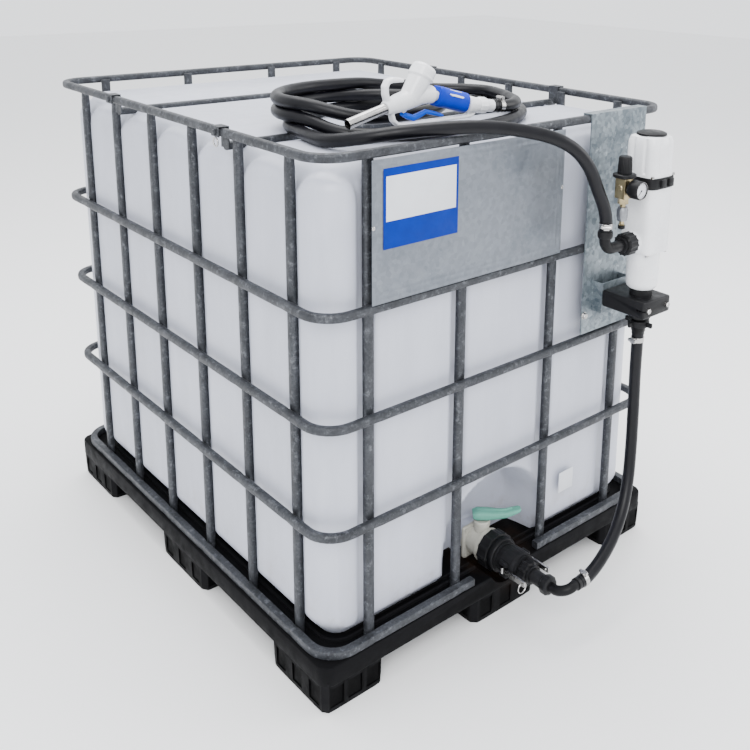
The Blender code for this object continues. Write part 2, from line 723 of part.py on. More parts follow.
def regulator():
    """Air regulator with knob, pressure gauge and a quick coupler under it."""
    x, y, z = REGULATOR_X, PUMP_Y, REGULATOR_Z
    flange_low = 0.0206
    flange_high = 0.030
    arm_z = z + 0.004
    half = 0.0145
    body = apply_modifiers(block((x - half, y - half, z - 0.024), (x + half, y + half, z + flange_low + 0.002)))
    pieces = [
        turned([(0, flange_high), (0.021, flange_high), (0.023, flange_high - 0.002), (0.023, flange_low),
                (0, flange_low)], (x, y, z)),
        rod((x, y, arm_z), (PUMP_X - PUMP_HALF - 0.003 - GAP, y, arm_z), 0.007, 16),
        rod((x, y, z), (x, y - 0.0190, z), 0.006, 16),
        rod((x, y, z - 0.020), (x, y, z - 0.092), 0.0060, 16),
        rod((x, y, z - 0.022), (x, y, z - 0.038), 0.0120, 6),
        rod((x, y, z - 0.082), (x, y, z - 0.092), 0.0080, 16),
    ]
    keep(smooth(combine(body, "UNION", pieces)), "regulator_body", "brass")

    profile = [(0, 0.036), (0.013, 0.036), (0.0155, 0.033), (0.0155, 0), (0, 0)]
    knob = turned(profile, (x, y, z + flange_high + GAP), steps=20)
    keep(smooth(apply_modifiers(knob)), "regulator_knob", "fitting_black")

    gauge_back = y - 0.0193
    gauge = turned(
        [(0, 0.026), (0.0165, 0.026), (0.0165, 0.029), (0.0200, 0.029), (0.0200, 0.004), (0.017, 0), (0, 0)],
        (x, gauge_back, z), Y_AXIS,
    )
    keep(smooth(apply_modifiers(gauge)), "gauge_body", "steel")
    needle = box((0, 0, 0), (0.0016, 0.0006, 0.0155))
    needle.data.transform(Matrix.Translation((0, 0, 0.0055)))
    at_rest = Matrix.Rotation(math.radians(-135), 4, "Y")
    needle.matrix_world = Matrix.Translation((x, gauge_back - 0.0268, z)) @ at_rest
    keep(needle, "gauge_needle", "fitting_black")

    sleeve = turned(ring_profile(0.0125, 0.0063, 0, 0.030, 0.002), (x, y, z - 0.073), steps=20)
    keep(smooth(apply_modifiers(sleeve)), "coupler_sleeve", "knurl_grey")


# ---------------------------------------------------------------- hoses
def on_turn(turn, angle, level):
    """A place on an oval turn of hose, counted from its left end round the back."""
    (centre_x, centre_y), (half_x, half_y) = turn
    return Vector((centre_x - half_x * math.cos(angle), centre_y + half_y * math.sin(angle), level))


def oval_stack(turn, base, count, steps=36):
    """One closed oval ring that stands in for hose turns lying one on another."""
    (_centre_x, _centre_y), (half_x, half_y) = turn
    height = 2 * HOSE_R * count
    shoulder = 0.006
    flat = HOSE_R - shoulder
    section = [
        (HOSE_R, shoulder), (HOSE_R, height - shoulder), (flat, height), (-flat, height),
        (-HOSE_R, height - shoulder), (-HOSE_R, shoulder), (-flat, 0), (flat, 0),
    ]
    mesh = bpy.data.meshes.new("stack")
    work = bmesh.new()
    rows = []
    for index in range(steps):
        angle = 2 * math.pi * index / steps
        outward = Vector((-math.cos(angle) / half_x, math.sin(angle) / half_y, 0)).normalized()
        spot = on_turn(turn, angle, base)
        rows.append([work.verts.new(spot + outward * across + Vector((0, 0, up))) for across, up in section])
    for first, second in zip(rows, rows[1:] + rows[:1]):
        for step in range(len(section)):
            after = (step + 1) % len(section)
            work.faces.new([first[step], second[step], second[after], first[after]])
    bmesh.ops.recalc_face_normals(work, faces=work.faces)
    work.to_mesh(mesh)
    work.free()
    item = bpy.data.objects.new("stack", mesh)
    bpy.context.scene.collection.objects.link(item)
    return item


def hoses():
    for name, route in (
        ("delivery_hose_feed", FEED_ROUTE), ("delivery_hose_tail", TAIL_ROUTE), ("suction_hose", SUCTION_ROUTE),
    ):
        points = smooth_route(route, 5 * HOSE_R)
        keep(smooth(apply_modifiers(curve_object(points, HOSE_R))), name, "hose_black")
    first, last, steps = 12, 335, 34
    angles = [math.radians(first + (last - first) * step / steps) for step in range(steps + 1)]
    level = COIL_BASE + HOSE_R
    route = [Vector((*spot, level)) for spot in COIL_LEAD]
    route += [on_turn(LOWER_TURN, angle, level) for angle in angles]
    lower = curve_object(route, HOSE_R)
    upper = oval_stack(UPPER_TURNS, COIL_BASE + 2 * HOSE_R - 0.0006, UPPER_COUNT)
    keep(smooth(combine(apply_modifiers(lower), "UNION", [upper])), "delivery_hose_coil", "hose_black")


# ---------------------------------------------------------------- nozzle
def nozzle_point(across, height):
    """A place in the upright plane that the nozzle lies in."""
    return Vector((across, NOZZLE_Y, height))


def nozzle():
    """Dispensing nozzle that rests on the coil, spout towards -X."""
    base = nozzle_point(-0.2360, 1.1570)
    tip = nozzle_point(-0.3260, 1.1352)
    spout = rod(base, tip, 0.0110, 16)
    bore = rod(base.lerp(tip, 0.3), tip.lerp(base, -0.1), 0.0098, 16)
    keep(smooth(combine(spout, "DIFFERENCE", [bore])), "nozzle_spout", "steel")

    upright = Matrix.Translation((0, NOZZLE_Y, 0)) @ Y_AXIS
    guard = [
        (-0.2240, 1.158), (-0.2150, 1.1183), (0.0030, 1.1183), (0.0030, 1.1420),
        (-0.0080, 1.1420), (-0.0080, 1.1243), (-0.2060, 1.1243), (-0.2120, 1.158),
    ]
    hook = [
        (-0.2330, 1.158), (-0.2360, 1.204), (-0.2290, 1.213), (-0.1940, 1.214),
        (-0.1940, 1.206), (-0.2220, 1.204), (-0.2210, 1.158),
    ]
    pieces = [
        outline_plate(guard, 0.018, upright),
        outline_plate(hook, 0.016, upright),
        rod(nozzle_point(-0.2130, 1.1625), nozzle_point(-0.1180, 1.1755), 0.0180, 20, end_radius=0.0190),
        rod(nozzle_point(-0.1800, 1.1720), nozzle_point(-0.1420, 1.2200), 0.0225, 20, end_radius=0.0255),
        rod(nozzle_point(-0.1450, 1.2150), nozzle_point(-0.1330, 1.2320), 0.0240, 20, end_radius=0.0170),
        rod(nozzle_point(-0.1200, 1.1750), nozzle_point(-0.0150, 1.1460), 0.0105, 16),
        rod(nozzle_point(-0.0190, 1.1458), nozzle_point(0.0100, 1.1415), 0.0150, 20),
    ]
    body = rod(nozzle_point(-0.2357, 1.15707), nozzle_point(-0.2050, 1.1645), 0.0135, 16, end_radius=0.0190)
    keep(smooth(combine(body, "UNION", pieces)), "nozzle_body", "pump_white")

    front = nozzle_point(-0.1070, 1.1714)
    rear = nozzle_point(-0.0280, 1.1496)
    grip = rod(front, rear, 0.0195, 20)
    grip_hole = rod(front.lerp(rear, -0.2), rear.lerp(front, -0.2), 0.0112, 16)
    keep(smooth(combine(grip, "DIFFERENCE", [grip_hole])), "nozzle_grip", "grip_blue")

    swivel_start = nozzle_point(0.0106, 1.1414)
    hose_end = Vector(TAIL_ROUTE[0])
    length = (hose_end - swivel_start).length - 0.0005
    swivel = turned(
        [(0, length), (0.0125, length), (0.0125, 0.030), (0.0165, 0.028), (0.0165, 0.002), (0.0145, 0), (0, 0)],
        swivel_start, (hose_end - swivel_start).to_track_quat("Z", "Y").to_matrix().to_4x4(), 20,
    )
    keep(smooth(apply_modifiers(swivel)), "nozzle_swivel", "pump_white")


def nozzle_trigger():
    """The lever between the grip and the guard, on a pivot under the body."""
    pivot = nozzle_point(-0.1900, 1.1415)
    across = Vector((0, 0.006, 0))
    trigger = rod(pivot - across, pivot + across, 0.0040, 12)
    outline = [
        (-0.002, -0.0036), (0.025, -0.0140), (0.057, -0.0040), (0.102, -0.0160),
        (0.105, -0.0090), (0.057, 0.0040), (0.025, -0.0060), (0.000, 0.0036),
    ]
    lever = outline_plate(outline, 0.011, Matrix.Translation(pivot) @ Y_AXIS)
    keep(combine(trigger, "UNION", [lever]), "nozzle_trigger", "trigger_blue")


def front_plate():
    """The sheet for notices, between the top rail and the third ring."""
    low = RING_LEVELS[2] + TUBE_R + 0.001
    high = TOP_RING_Z - TUBE_R - 0.002
    back = -RING_Y - TUBE_R - GAP
    plate = block((-0.382, back - 0.0012, low), (0.128, back, high))
    keep(plate, "front_plate", "bright_zinc")


cage_rings()
cage_posts()
top_bars()
front_plate()
pallet()
tank()
valve()
couplings()
finger_ring()
pump_bracket()
pump()
pump_outlet()
regulator()
hoses()
nozzle()
nozzle_trigger()
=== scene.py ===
import json
import math

import bmesh
import bpy
from mathutils import Matrix, Vector
from mathutils.noise import noise

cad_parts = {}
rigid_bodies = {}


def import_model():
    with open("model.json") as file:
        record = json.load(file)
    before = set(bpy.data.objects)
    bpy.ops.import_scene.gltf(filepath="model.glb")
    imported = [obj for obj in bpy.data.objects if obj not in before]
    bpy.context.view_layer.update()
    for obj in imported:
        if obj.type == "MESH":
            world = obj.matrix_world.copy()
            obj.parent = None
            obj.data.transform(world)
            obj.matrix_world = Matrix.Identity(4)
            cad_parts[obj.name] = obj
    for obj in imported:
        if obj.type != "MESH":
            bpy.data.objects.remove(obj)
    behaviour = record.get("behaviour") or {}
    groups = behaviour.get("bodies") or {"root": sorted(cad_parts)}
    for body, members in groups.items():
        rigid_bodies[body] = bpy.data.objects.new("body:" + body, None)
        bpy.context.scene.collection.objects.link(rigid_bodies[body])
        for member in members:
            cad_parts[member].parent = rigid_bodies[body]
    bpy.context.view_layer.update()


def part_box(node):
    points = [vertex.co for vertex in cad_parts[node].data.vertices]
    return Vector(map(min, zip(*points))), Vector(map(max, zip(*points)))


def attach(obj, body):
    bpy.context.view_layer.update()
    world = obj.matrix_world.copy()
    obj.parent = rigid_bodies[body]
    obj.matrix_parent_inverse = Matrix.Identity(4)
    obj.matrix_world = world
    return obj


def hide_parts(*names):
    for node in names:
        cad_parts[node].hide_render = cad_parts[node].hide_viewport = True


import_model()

X, Y, Z = Vector((1, 0, 0)), Vector((0, 1, 0)), Vector((0, 0, 1))


def low(node):
    return Vector(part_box(node)[0])


def high(node):
    return Vector(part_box(node)[1])


def middle(node):
    return (low(node) + high(node)) / 2


TUBE_R = 0.009
RINGS = ("ring_base", "ring_1", "ring_2", "ring_3", "ring_top")
RING_Z = {name: middle(name).z for name in RINGS}
RING_X = (high("ring_top").x - low("ring_top").x) / 2 - TUBE_R
RING_Y = (high("ring_top").y - low("ring_top").y) / 2 - TUBE_R
RING_CORNER = 0.060
POSTS_X = [middle(f"post_front_{i}").x for i in range(1, 5)]
POSTS_Y = [middle(f"post_left_{i}").y for i in range(1, 7)]
PUMP = Vector((middle("motor_housing").x, middle("motor_housing").y, 0))
VALVE_Z = middle("cam_coupler").z
HANDLE_Y = -0.5130
LEVER_TURN = math.radians(-38)
OUTLET_Z = 0.853
TANK_TOP = high("tank_bottle").z
BARS_Y = [middle(name).y for name in ("top_bar_front", "top_bar_rear")]
BAR_Z = low("top_bar_rear").z + TUBE_R
HOSE_R = 0.0135

FEED_ROUTE = (
    (0.152, -0.700, 0.8955), (0.152, -0.700, 0.9180), (0.144, -0.700, 0.9450), (0.120, -0.700, 0.9880),
    (0.088, -0.700, 1.0400), (0.050, -0.693, 1.0800), (0.000, -0.675, 1.1080),
    (-0.070, -0.640, 1.1260), (-0.140, -0.612, 1.1345), (-0.210, -0.582, 1.1345),
    (-0.278, -0.550, 1.1300), (-0.335, -0.500, 1.1180), (-0.362, -0.435, 1.1060),
    (-0.354, -0.360, 1.1038), (-0.343, -0.310, 1.1038),
)
CLIMB_ROUTE = ((-0.280, -0.418, 1.1055), (-0.3128, -0.383, 1.1130), (-0.3300, -0.342, 1.1245))
LEAVE_ROUTE = (
    (-0.060, -0.122, 1.1560), (0.000, -0.124, 1.1490), (0.070, -0.134, 1.1385), (0.140, -0.162, 1.1318),
    (0.196, -0.206, 1.1312),
)
TAIL_ROUTE = (
    (0.0668, -0.450, 1.1344), (0.0900, -0.450, 1.1315), (0.125, -0.443, 1.1312),
    (0.160, -0.418, 1.1312), (0.185, -0.376, 1.1312), (0.209, -0.324, 1.1312),
    (0.224, -0.258, 1.1312),
)
LOWER_TURN = ((-0.050, -0.305), (0.290, 0.185))
UPPER_TURNS = ((-0.155, -0.265), (0.190, 0.145))
SUCTION_ROUTE = (
    (0.0450, -0.7700, 0.1420), (0.065, -0.770, 0.1420), (0.090, -0.7690, 0.1490), (0.125, -0.766, 0.1650),
    (0.175, -0.755, 0.1900), (0.222, -0.740, 0.2300), (0.255, -0.726, 0.2850),
    (0.275, -0.714, 0.3500), (0.285, -0.706, 0.4400), (0.2895, -0.7005, 0.5300),
    (0.290, -0.700, 0.5900), (0.290, -0.700, 0.6300),
)


# ---------------------------------------------------------------- material nodes
def shader_of(name, colour, roughness, metallic=0.0):
    made = bpy.data.materials.new(name)
    made.use_nodes = True
    shader = made.node_tree.nodes["Principled BSDF"]
    shader.inputs["Base Color"].default_value = (*colour, 1.0)
    shader.inputs["Roughness"].default_value = roughness
    shader.inputs["Metallic"].default_value = metallic
    return made, shader


def add_node(made, kind, **values):
    node = made.node_tree.nodes.new(kind)
    for key, value in values.items():
        if key in node.inputs:
            node.inputs[key].default_value = value
        else:
            setattr(node, key, value)
    return node


def join(made, source, target):
    made.node_tree.links.new(source, target)


def object_place(made, stretch=(1, 1, 1)):
    place = add_node(made, "ShaderNodeTexCoord")
    mapping = add_node(made, "ShaderNodeMapping")
    mapping.inputs["Scale"].default_value = stretch
    join(made, place.outputs["Object"], mapping.inputs["Vector"])
    return mapping.outputs["Vector"]


def noise_value(made, scale, detail=4.0, rough=0.6, stretch=(1, 1, 1)):
    texture = add_node(made, "ShaderNodeTexNoise")
    texture.inputs["Scale"].default_value = scale
    texture.inputs["Detail"].default_value = detail
    texture.inputs["Roughness"].default_value = rough
    join(made, object_place(made, stretch), texture.inputs["Vector"])
    return texture.outputs["Fac"]


def cells(made, scale, output="Color", stretch=(1, 1, 1)):
    texture = add_node(made, "ShaderNodeTexVoronoi")
    texture.inputs["Scale"].default_value = scale
    join(made, object_place(made, stretch), texture.inputs["Vector"])
    return texture.outputs[output]


def ramp(made, value, stops):
    """A colour ramp from (place, colour) stops; a colour may be one number for grey."""
    node = add_node(made, "ShaderNodeValToRGB")
    elements = node.color_ramp.elements
    while len(elements) < len(stops):
        elements.new(0.5)
    for element, (place, colour) in zip(elements, stops):
        element.position = place
        element.color = (*colour, 1.0) if isinstance(colour, tuple) else (colour, colour, colour, 1.0)
    join(made, value, node.inputs["Fac"])
    return node.outputs["Color"]


def blend_colours(made, factor, first, second, how="MIX"):
    node = add_node(made, "ShaderNodeMix", data_type="RGBA", blend_type=how)
    if isinstance(factor, float):
        node.inputs[0].default_value = factor
    else:
        join(made, factor, node.inputs[0])
    for socket, value in ((node.inputs[6], first), (node.inputs[7], second)):
        if isinstance(value, tuple):
            socket.default_value = (*value, 1.0)
        else:
            join(made, value, socket)
    return node.outputs[2]


def add_bump(made, shader, value, strength, distance):
    bump = add_node(made, "ShaderNodeBump")
    bump.inputs["Strength"].default_value = strength
    bump.inputs["Distance"].default_value = distance
    join(made, value, bump.inputs["Height"])
    join(made, bump.outputs["Normal"], shader.inputs["Normal"])


def edge_wear_and_highlight(made, softness=0.35):
    """Bright on convex edges, dark in hollows: edge wear together with a painted edge highlight."""
    place = add_node(made, "ShaderNodeNewGeometry")
    return ramp(made, place.outputs["Pointiness"], [(0.5, 0.0), (0.5 + softness * 0.2, 1.0)])


def galvanised():
    made, shader = shader_of("galvanised_tube", (0.08, 0.09, 0.10), 0.5, 0.45)
    patches = ramp(made, noise_value(made, 22.0, 6.0, 0.7), [(0.30, (0.030, 0.033, 0.040)), (0.72, (0.074, 0.079, 0.090))])
    grains = ramp(made, noise_value(made, 190.0, 4.0, 0.75), [(0.36, 0.50), (0.62, 1.0)])
    streaks = ramp(made, noise_value(made, 9.0, 5.0, 0.65, (3, 3, 0.5)), [(0.42, 0.74), (0.62, 1.0)])
    flecks = ramp(made, noise_value(made, 75.0, 5.0, 0.75), [(0.54, 0.0), (0.70, 0.60)])
    tinted = blend_colours(made, 1.0, patches, grains, "MULTIPLY")
    streaked = blend_colours(made, 1.0, tinted, streaks, "MULTIPLY")
    join(made, blend_colours(made, flecks, streaked, (0.19, 0.20, 0.222)), shader.inputs["Base Color"])
    join(made, ramp(made, noise_value(made, 60.0, 5.0), [(0.3, 0.36), (0.7, 0.62)]), shader.inputs["Roughness"])
    add_bump(made, shader, noise_value(made, 330.0, 4.0), 0.25, 0.0006)
    return made


def zinc_sheet(name, dull, bright, blotch, frost_share):
    """Hot dipped sheet: fine crystals, darker blotches and pale frosting."""
    made, shader = shader_of(name, bright, 0.4, 0.6)
    spangles = ramp(made, cells(made, 110.0, "Color"), [(0.1, dull), (0.9, bright)])
    blotches = ramp(made, noise_value(made, 7.0, 8.0, 0.70), [(0.34, blotch), (0.52, (1.0, 1.0, 1.0))])
    blots = blend_colours(made, 0.8, spangles, blotches, "MULTIPLY")
    frost = ramp(made, noise_value(made, 40.0, 6.0, 0.75), [(0.58, 0.0), (0.72, frost_share)])
    join(made, blend_colours(made, frost, blots, (0.52, 0.58, 0.61)), shader.inputs["Base Color"])
    join(made, ramp(made, noise_value(made, 24.0, 5.0), [(0.3, 0.28), (0.7, 0.52)]), shader.inputs["Roughness"])
    add_bump(made, shader, noise_value(made, 120.0, 4.0), 0.12, 0.0004)
    return made


def tank_plastic():
    made, shader = shader_of("tank_plastic", (0.5, 0.52, 0.56), 0.38)
    shader.inputs["Subsurface Weight"].default_value = 0.20
    shader.inputs["Subsurface Radius"].default_value = (0.03, 0.03, 0.035)
    shader.inputs["Coat Weight"].default_value = 0.12
    clouds = ramp(made, noise_value(made, 2.4, 4.0), [(0.3, (0.43, 0.45, 0.52)), (0.7, (0.51, 0.53, 0.61))])
    streaks = ramp(made, noise_value(made, 22.0, 5.0, 0.6, (1, 1, 0.12)), [(0.35, 0.93), (0.65, 1.0)])
    grime = ramp(made, noise_value(made, 18.0, 8.0, 0.7), [(0.50, 0.0), (0.78, 0.55)])
    place = add_node(made, "ShaderNodeTexCoord")
    split = add_node(made, "ShaderNodeSeparateXYZ")
    join(made, place.outputs["Object"], split.inputs["Vector"])
    low_down = ramp(made, split.outputs["Z"], [(0.118, 1.0), (0.24, 0.05)])
    dirty = blend_colours(made, 1.0, grime, low_down, "MULTIPLY")
    streaked = blend_colours(made, 1.0, clouds, streaks, "MULTIPLY")
    join(made, blend_colours(made, dirty, streaked, (0.17, 0.11, 0.06)), shader.inputs["Base Color"])
    join(made, ramp(made, noise_value(made, 40.0, 5.0), [(0.3, 0.30), (0.7, 0.48)]), shader.inputs["Roughness"])
    add_bump(made, shader, noise_value(made, 14.0, 3.0), 0.10, 0.004)
    return made


def pallet_plastic():
    made, shader = shader_of("pallet_plastic", (0.003, 0.003, 0.003), 0.55)
    shader.inputs["Specular IOR Level"].default_value = 0.035
    base = ramp(made, noise_value(made, 8.0, 8.0, 0.7), [(0.3, (0.0008, 0.0008, 0.0010)), (0.75, (0.0020, 0.0020, 0.0023))])
    scratch = ramp(made, noise_value(made, 26.0, 8.0, 0.75, (1, 1, 5)), [(0.62, 0.0), (0.76, 0.45)])
    scuffed = blend_colours(made, scratch, base, (0.012, 0.012, 0.013))
    # convex edges lightened: edge wear together with a painted edge highlight
    worn_and_highlit = blend_colours(made, edge_wear_and_highlight(made, 0.5), scuffed, (0.008, 0.008, 0.009))
    place = add_node(made, "ShaderNodeTexCoord")
    away = add_node(made, "ShaderNodeVectorMath", operation="DISTANCE")
    join(made, place.outputs["Object"], away.inputs[0])
    away.inputs[1].default_value = (0.02, -0.50, 0.10)
    near = ramp(made, away.outputs["Value"], [(0.05, 0.7), (0.12, 0.0)])
    patchy = ramp(made, noise_value(made, 20.0, 7.0, 0.7), [(0.42, 0.2), (0.62, 1.0)])
    stain = blend_colours(made, 1.0, near, patchy, "MULTIPLY")
    join(made, blend_colours(made, stain, worn_and_highlit, (0.030, 0.017, 0.010)), shader.inputs["Base Color"])
    join(made, ramp(made, noise_value(made, 30.0, 6.0), [(0.3, 0.36), (0.7, 0.66)]), shader.inputs["Roughness"])
    add_bump(made, shader, noise_value(made, 160.0, 6.0, 0.7), 0.35, 0.0008)
    return made


def black_plastic():
    made, shader = shader_of("black_plastic", (0.006, 0.006, 0.007), 0.40)
    shader.inputs["Specular IOR Level"].default_value = 0.14
    base = ramp(made, noise_value(made, 40.0, 6.0), [(0.3, (0.0012, 0.0012, 0.0016)), (0.7, (0.0030, 0.0030, 0.0036))])
    # convex edges lightened: edge wear together with a painted edge highlight
    join(made, blend_colours(made, edge_wear_and_highlight(made), base, (0.010, 0.010, 0.011)), shader.inputs["Base Color"])
    join(made, ramp(made, noise_value(made, 70.0, 5.0), [(0.3, 0.28), (0.7, 0.50)]), shader.inputs["Roughness"])
    add_bump(made, shader, noise_value(made, 420.0, 3.0), 0.2, 0.0003)
    return made


def hose_rubber():
    made, shader = shader_of("hose_rubber", (0.006, 0.006, 0.009), 0.36)
    shader.inputs["Specular IOR Level"].default_value = 0.22
    base = ramp(made, noise_value(made, 30.0, 7.0), [(0.3, (0.0012, 0.0012, 0.0024)), (0.72, (0.0032, 0.0032, 0.0052))])
    dust = ramp(made, noise_value(made, 12.0, 8.0, 0.7), [(0.60, 0.0), (0.85, 0.25)])
    join(made, blend_colours(made, dust, base, (0.014, 0.014, 0.017)), shader.inputs["Base Color"])
    join(made, ramp(made, noise_value(made, 55.0, 6.0), [(0.3, 0.28), (0.7, 0.46)]), shader.inputs["Roughness"])
    add_bump(made, shader, noise_value(made, 500.0, 3.0), 0.2, 0.0003)
    return made


def glossy_plastic(name, colour, shade, roughness=0.24, sheen=0.5):
    made, shader = shader_of(name, colour, roughness)
    shader.inputs["Specular IOR Level"].default_value = sheen
    shader.inputs["Coat Weight"].default_value = 0.6 * sheen
    shader.inputs["Coat Roughness"].default_value = 0.12
    base = ramp(made, noise_value(made, 16.0, 5.0), [(0.3, shade), (0.65, colour)])
    join(made, base, shader.inputs["Base Color"])
    rough_stops = [(0.3, roughness * 0.8), (0.7, roughness * 1.3)]
    join(made, ramp(made, noise_value(made, 45.0, 5.0), rough_stops), shader.inputs["Roughness"])
    add_bump(made, shader, noise_value(made, 220.0, 3.0), 0.06, 0.0003)
    return made


def matte_plastic(name, colour, shade, stain, sheen=0.5):
    made, shader = shader_of(name, colour, 0.48)
    shader.inputs["Specular IOR Level"].default_value = sheen
    base = ramp(made, noise_value(made, 30.0, 6.0), [(0.3, shade), (0.7, colour)])
    dirt = ramp(made, noise_value(made, 24.0, 8.0, 0.72), [(0.60, 0.0), (0.85, 0.35)])
    join(made, blend_colours(made, dirt, base, stain), shader.inputs["Base Color"])
    join(made, ramp(made, noise_value(made, 50.0, 5.0), [(0.3, 0.38), (0.7, 0.60)]), shader.inputs["Roughness"])
    add_bump(made, shader, noise_value(made, 260.0, 4.0), 0.15, 0.0004)
    return made


def metal(name, colour, roughness, brushed=(1, 1, 30)):
    made, shader = shader_of(name, colour, roughness, 1.0)
    dark = tuple(channel * 0.72 for channel in colour)
    base = ramp(made, noise_value(made, 50.0, 5.0), [(0.3, dark), (0.65, colour)])
    join(made, base, shader.inputs["Base Color"])
    rough_stops = [(0.3, roughness * 0.7), (0.7, roughness * 1.5)]
    join(made, ramp(made, noise_value(made, 60.0, 4.0, 0.6, brushed), rough_stops), shader.inputs["Roughness"])
    add_bump(made, shader, noise_value(made, 300.0, 3.0, 0.6, brushed), 0.08, 0.0003)
    return made


MATS = {
    "galvanised": galvanised(),
    "sheet": zinc_sheet("spangled_sheet", (0.115, 0.142, 0.162), (0.245, 0.282, 0.305), (0.20, 0.26, 0.31), 0.7),
    "plain_sheet": zinc_sheet("plain_sheet", (0.150, 0.166, 0.190), (0.185, 0.203, 0.230), (0.72, 0.75, 0.78), 0.12),
    "tank": tank_plastic(),
    "pallet": pallet_plastic(),
    "black": black_plastic(),
    "hose": hose_rubber(),
    "white": glossy_plastic("pump_white_gloss", (0.80, 0.81, 0.83), (0.72, 0.73, 0.75)),
    "cream": matte_plastic("valve_cream", (0.46, 0.45, 0.40), (0.34, 0.33, 0.28), (0.20, 0.15, 0.08)),
    "green": matte_plastic("lever_green", (0.115, 0.330, 0.260), (0.075, 0.255, 0.195), (0.06, 0.10, 0.07), 0.25),
    "blue": glossy_plastic("grip_blue", (0.000, 0.030, 0.46), (0.000, 0.022, 0.36), 0.40, 0.10),
    "bright_blue": glossy_plastic("trigger_blue", (0.000, 0.075, 0.62), (0.000, 0.058, 0.50), 0.36, 0.12),
    "steel": metal("stainless_steel", (0.52, 0.51, 0.50), 0.22),
    "brass": metal("plain_brass", (0.46, 0.38, 0.22), 0.32, (1, 1, 1)),
    "knurl": metal("knurled_grey", (0.30, 0.31, 0.33), 0.36, (1, 1, 1)),
    "face": matte_plastic("gauge_white", (0.60, 0.61, 0.64), (0.56, 0.57, 0.60), (0.4, 0.4, 0.4)),
    "label_white": matte_plastic("label_white", (0.62, 0.64, 0.68), (0.58, 0.60, 0.64), (0.4, 0.4, 0.4)),
    "label_blue": matte_plastic("label_blue", (0.000, 0.020, 0.25), (0.000, 0.016, 0.20), (0.05, 0.07, 0.2), 0.10),
    "tie": matte_plastic("tie_white", (0.62, 0.63, 0.65), (0.56, 0.57, 0.60), (0.3, 0.3, 0.3)),
}


# ---------------------------------------------------------------- making pieces
def place(name, work, look, body="root", replaced=(), sharp=38, bevel=0.0):
    """Turn a bmesh into a piece that rides on a body."""
    bmesh.ops.recalc_face_normals(work, faces=work.faces)
    mesh = bpy.data.meshes.new(name)
    work.to_mesh(mesh)
    work.free()
    piece = bpy.data.objects.new(name, mesh)
    bpy.context.scene.collection.objects.link(piece)
    mesh.materials.append(MATS[look])
    mesh.shade_smooth()
    mesh.set_sharp_from_angle(angle=math.radians(sharp))
    if bevel:
        edge = piece.modifiers.new("edge", "BEVEL")
        edge.width = bevel
        edge.segments = 2
        edge.limit_method = "ANGLE"
        edge.angle_limit = math.radians(35)
    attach(piece, body)
    if replaced:
        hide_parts(*replaced)
    return piece


def frame_at(start, direction, up=None):
    """A matrix at start whose Z runs along direction."""
    z = Vector(direction).normalized()
    hint = up or (X if abs(z.z) > 0.9 else Z)
    x = hint.cross(z).normalized()
    y = z.cross(x)
    turn = Matrix((x, y, z)).transposed().to_4x4()
    return Matrix.Translation(start) @ turn


def lathe(profile, steps=48, wave=None):
    """Turn (radius, height) pairs round Z; wave(turn, radius, height) may change the radius. A profile
    that ends where it began makes a ring."""
    work = bmesh.new()
    ring = profile[0] == profile[-1]
    rows = []
    for radius, height in profile[:-1] if ring else profile:
        row = []
        if radius < 0.00001:
            row.append(work.verts.new((0, 0, height)))
        else:
            for index in range(steps):
                turn = 2 * math.pi * index / steps
                reach = wave(turn, radius, height) if wave else radius
                row.append(work.verts.new((reach * math.cos(turn), reach * math.sin(turn), height)))
        rows.append(row)
    for first, second in zip(rows, rows[1:] + rows[:1] if ring else rows[1:]):
        for index in range(steps):
            after = (index + 1) % steps
            corners = [first[index % len(first)], first[after % len(first)],
                       second[after % len(second)], second[index % len(second)]]
            unique = list(dict.fromkeys(corners))
            if len(unique) > 2:
                work.faces.new(unique)
    if not ring:
        for row in (rows[0], rows[-1]):
            if len(row) > 1:
                work.faces.new(row)
    return work


def sweep(points, sizes, side=None, sides=16, power=2.0):
    """A closed tube through points. sizes gives (half width, half depth) at each point; with a fixed
    side vector the width lies along it, otherwise the frame turns as little as it can."""
    work = bmesh.new()
    rows = []
    carried = side
    for index, point in enumerate(points):
        before = points[max(index - 1, 0)]
        after = points[min(index + 1, len(points) - 1)]
        along = (after - before).normalized()
        if side is None:
            carried = carried or (X if abs(along.x) < 0.8 else Z)
            carried = (carried - along * carried.dot(along)).normalized()
        other = along.cross(carried).normalized()
        wide, deep = sizes[index]
        row = []
        for step in range(sides):
            turn = 2 * math.pi * (step + 0.5) / sides
            c, s = math.cos(turn), math.sin(turn)
            shape = (abs(c) ** power + abs(s) ** power) ** (-1 / power)
            row.append(work.verts.new(point + carried * (c * shape * wide) + other * (s * shape * deep)))
        rows.append(row)
    for first, second in zip(rows, rows[1:]):
        for step in range(sides):
            after = (step + 1) % sides
            work.faces.new([first[step], first[after], second[after], second[step]])
    work.faces.new(rows[0])
    work.faces.new(rows[-1])
    return work


def flat_sweep(points, half_width, half_thickness, side):
    """A bent flat strip."""
    return sweep(points, [(half_width, half_thickness)] * len(points), side, 4, 200.0)


def brick(corner_low, corner_high):
    work = bmesh.new()
    bmesh.ops.create_cube(work, size=1.0)
    corner_low, corner_high = Vector(corner_low), Vector(corner_high)
    span = corner_high - corner_low
    bmesh.ops.transform(work, verts=work.verts, matrix=Matrix.Diagonal((*span, 1.0)))
    bmesh.ops.translate(work, verts=work.verts, vec=(corner_low + corner_high) / 2)
    return work


def slab(outline, thickness):
    """A flat outline in XY, given a thickness along Z about zero."""
    work = bmesh.new()
    lower = [work.verts.new((across, along, -thickness / 2)) for across, along in outline]
    face = work.faces.new(lower)
    raised = bmesh.ops.extrude_face_region(work, geom=[face])
    moved = [item for item in raised["geom"] if isinstance(item, bmesh.types.BMVert)]
    bmesh.ops.translate(work, verts=moved, vec=(0, 0, thickness))
    return work


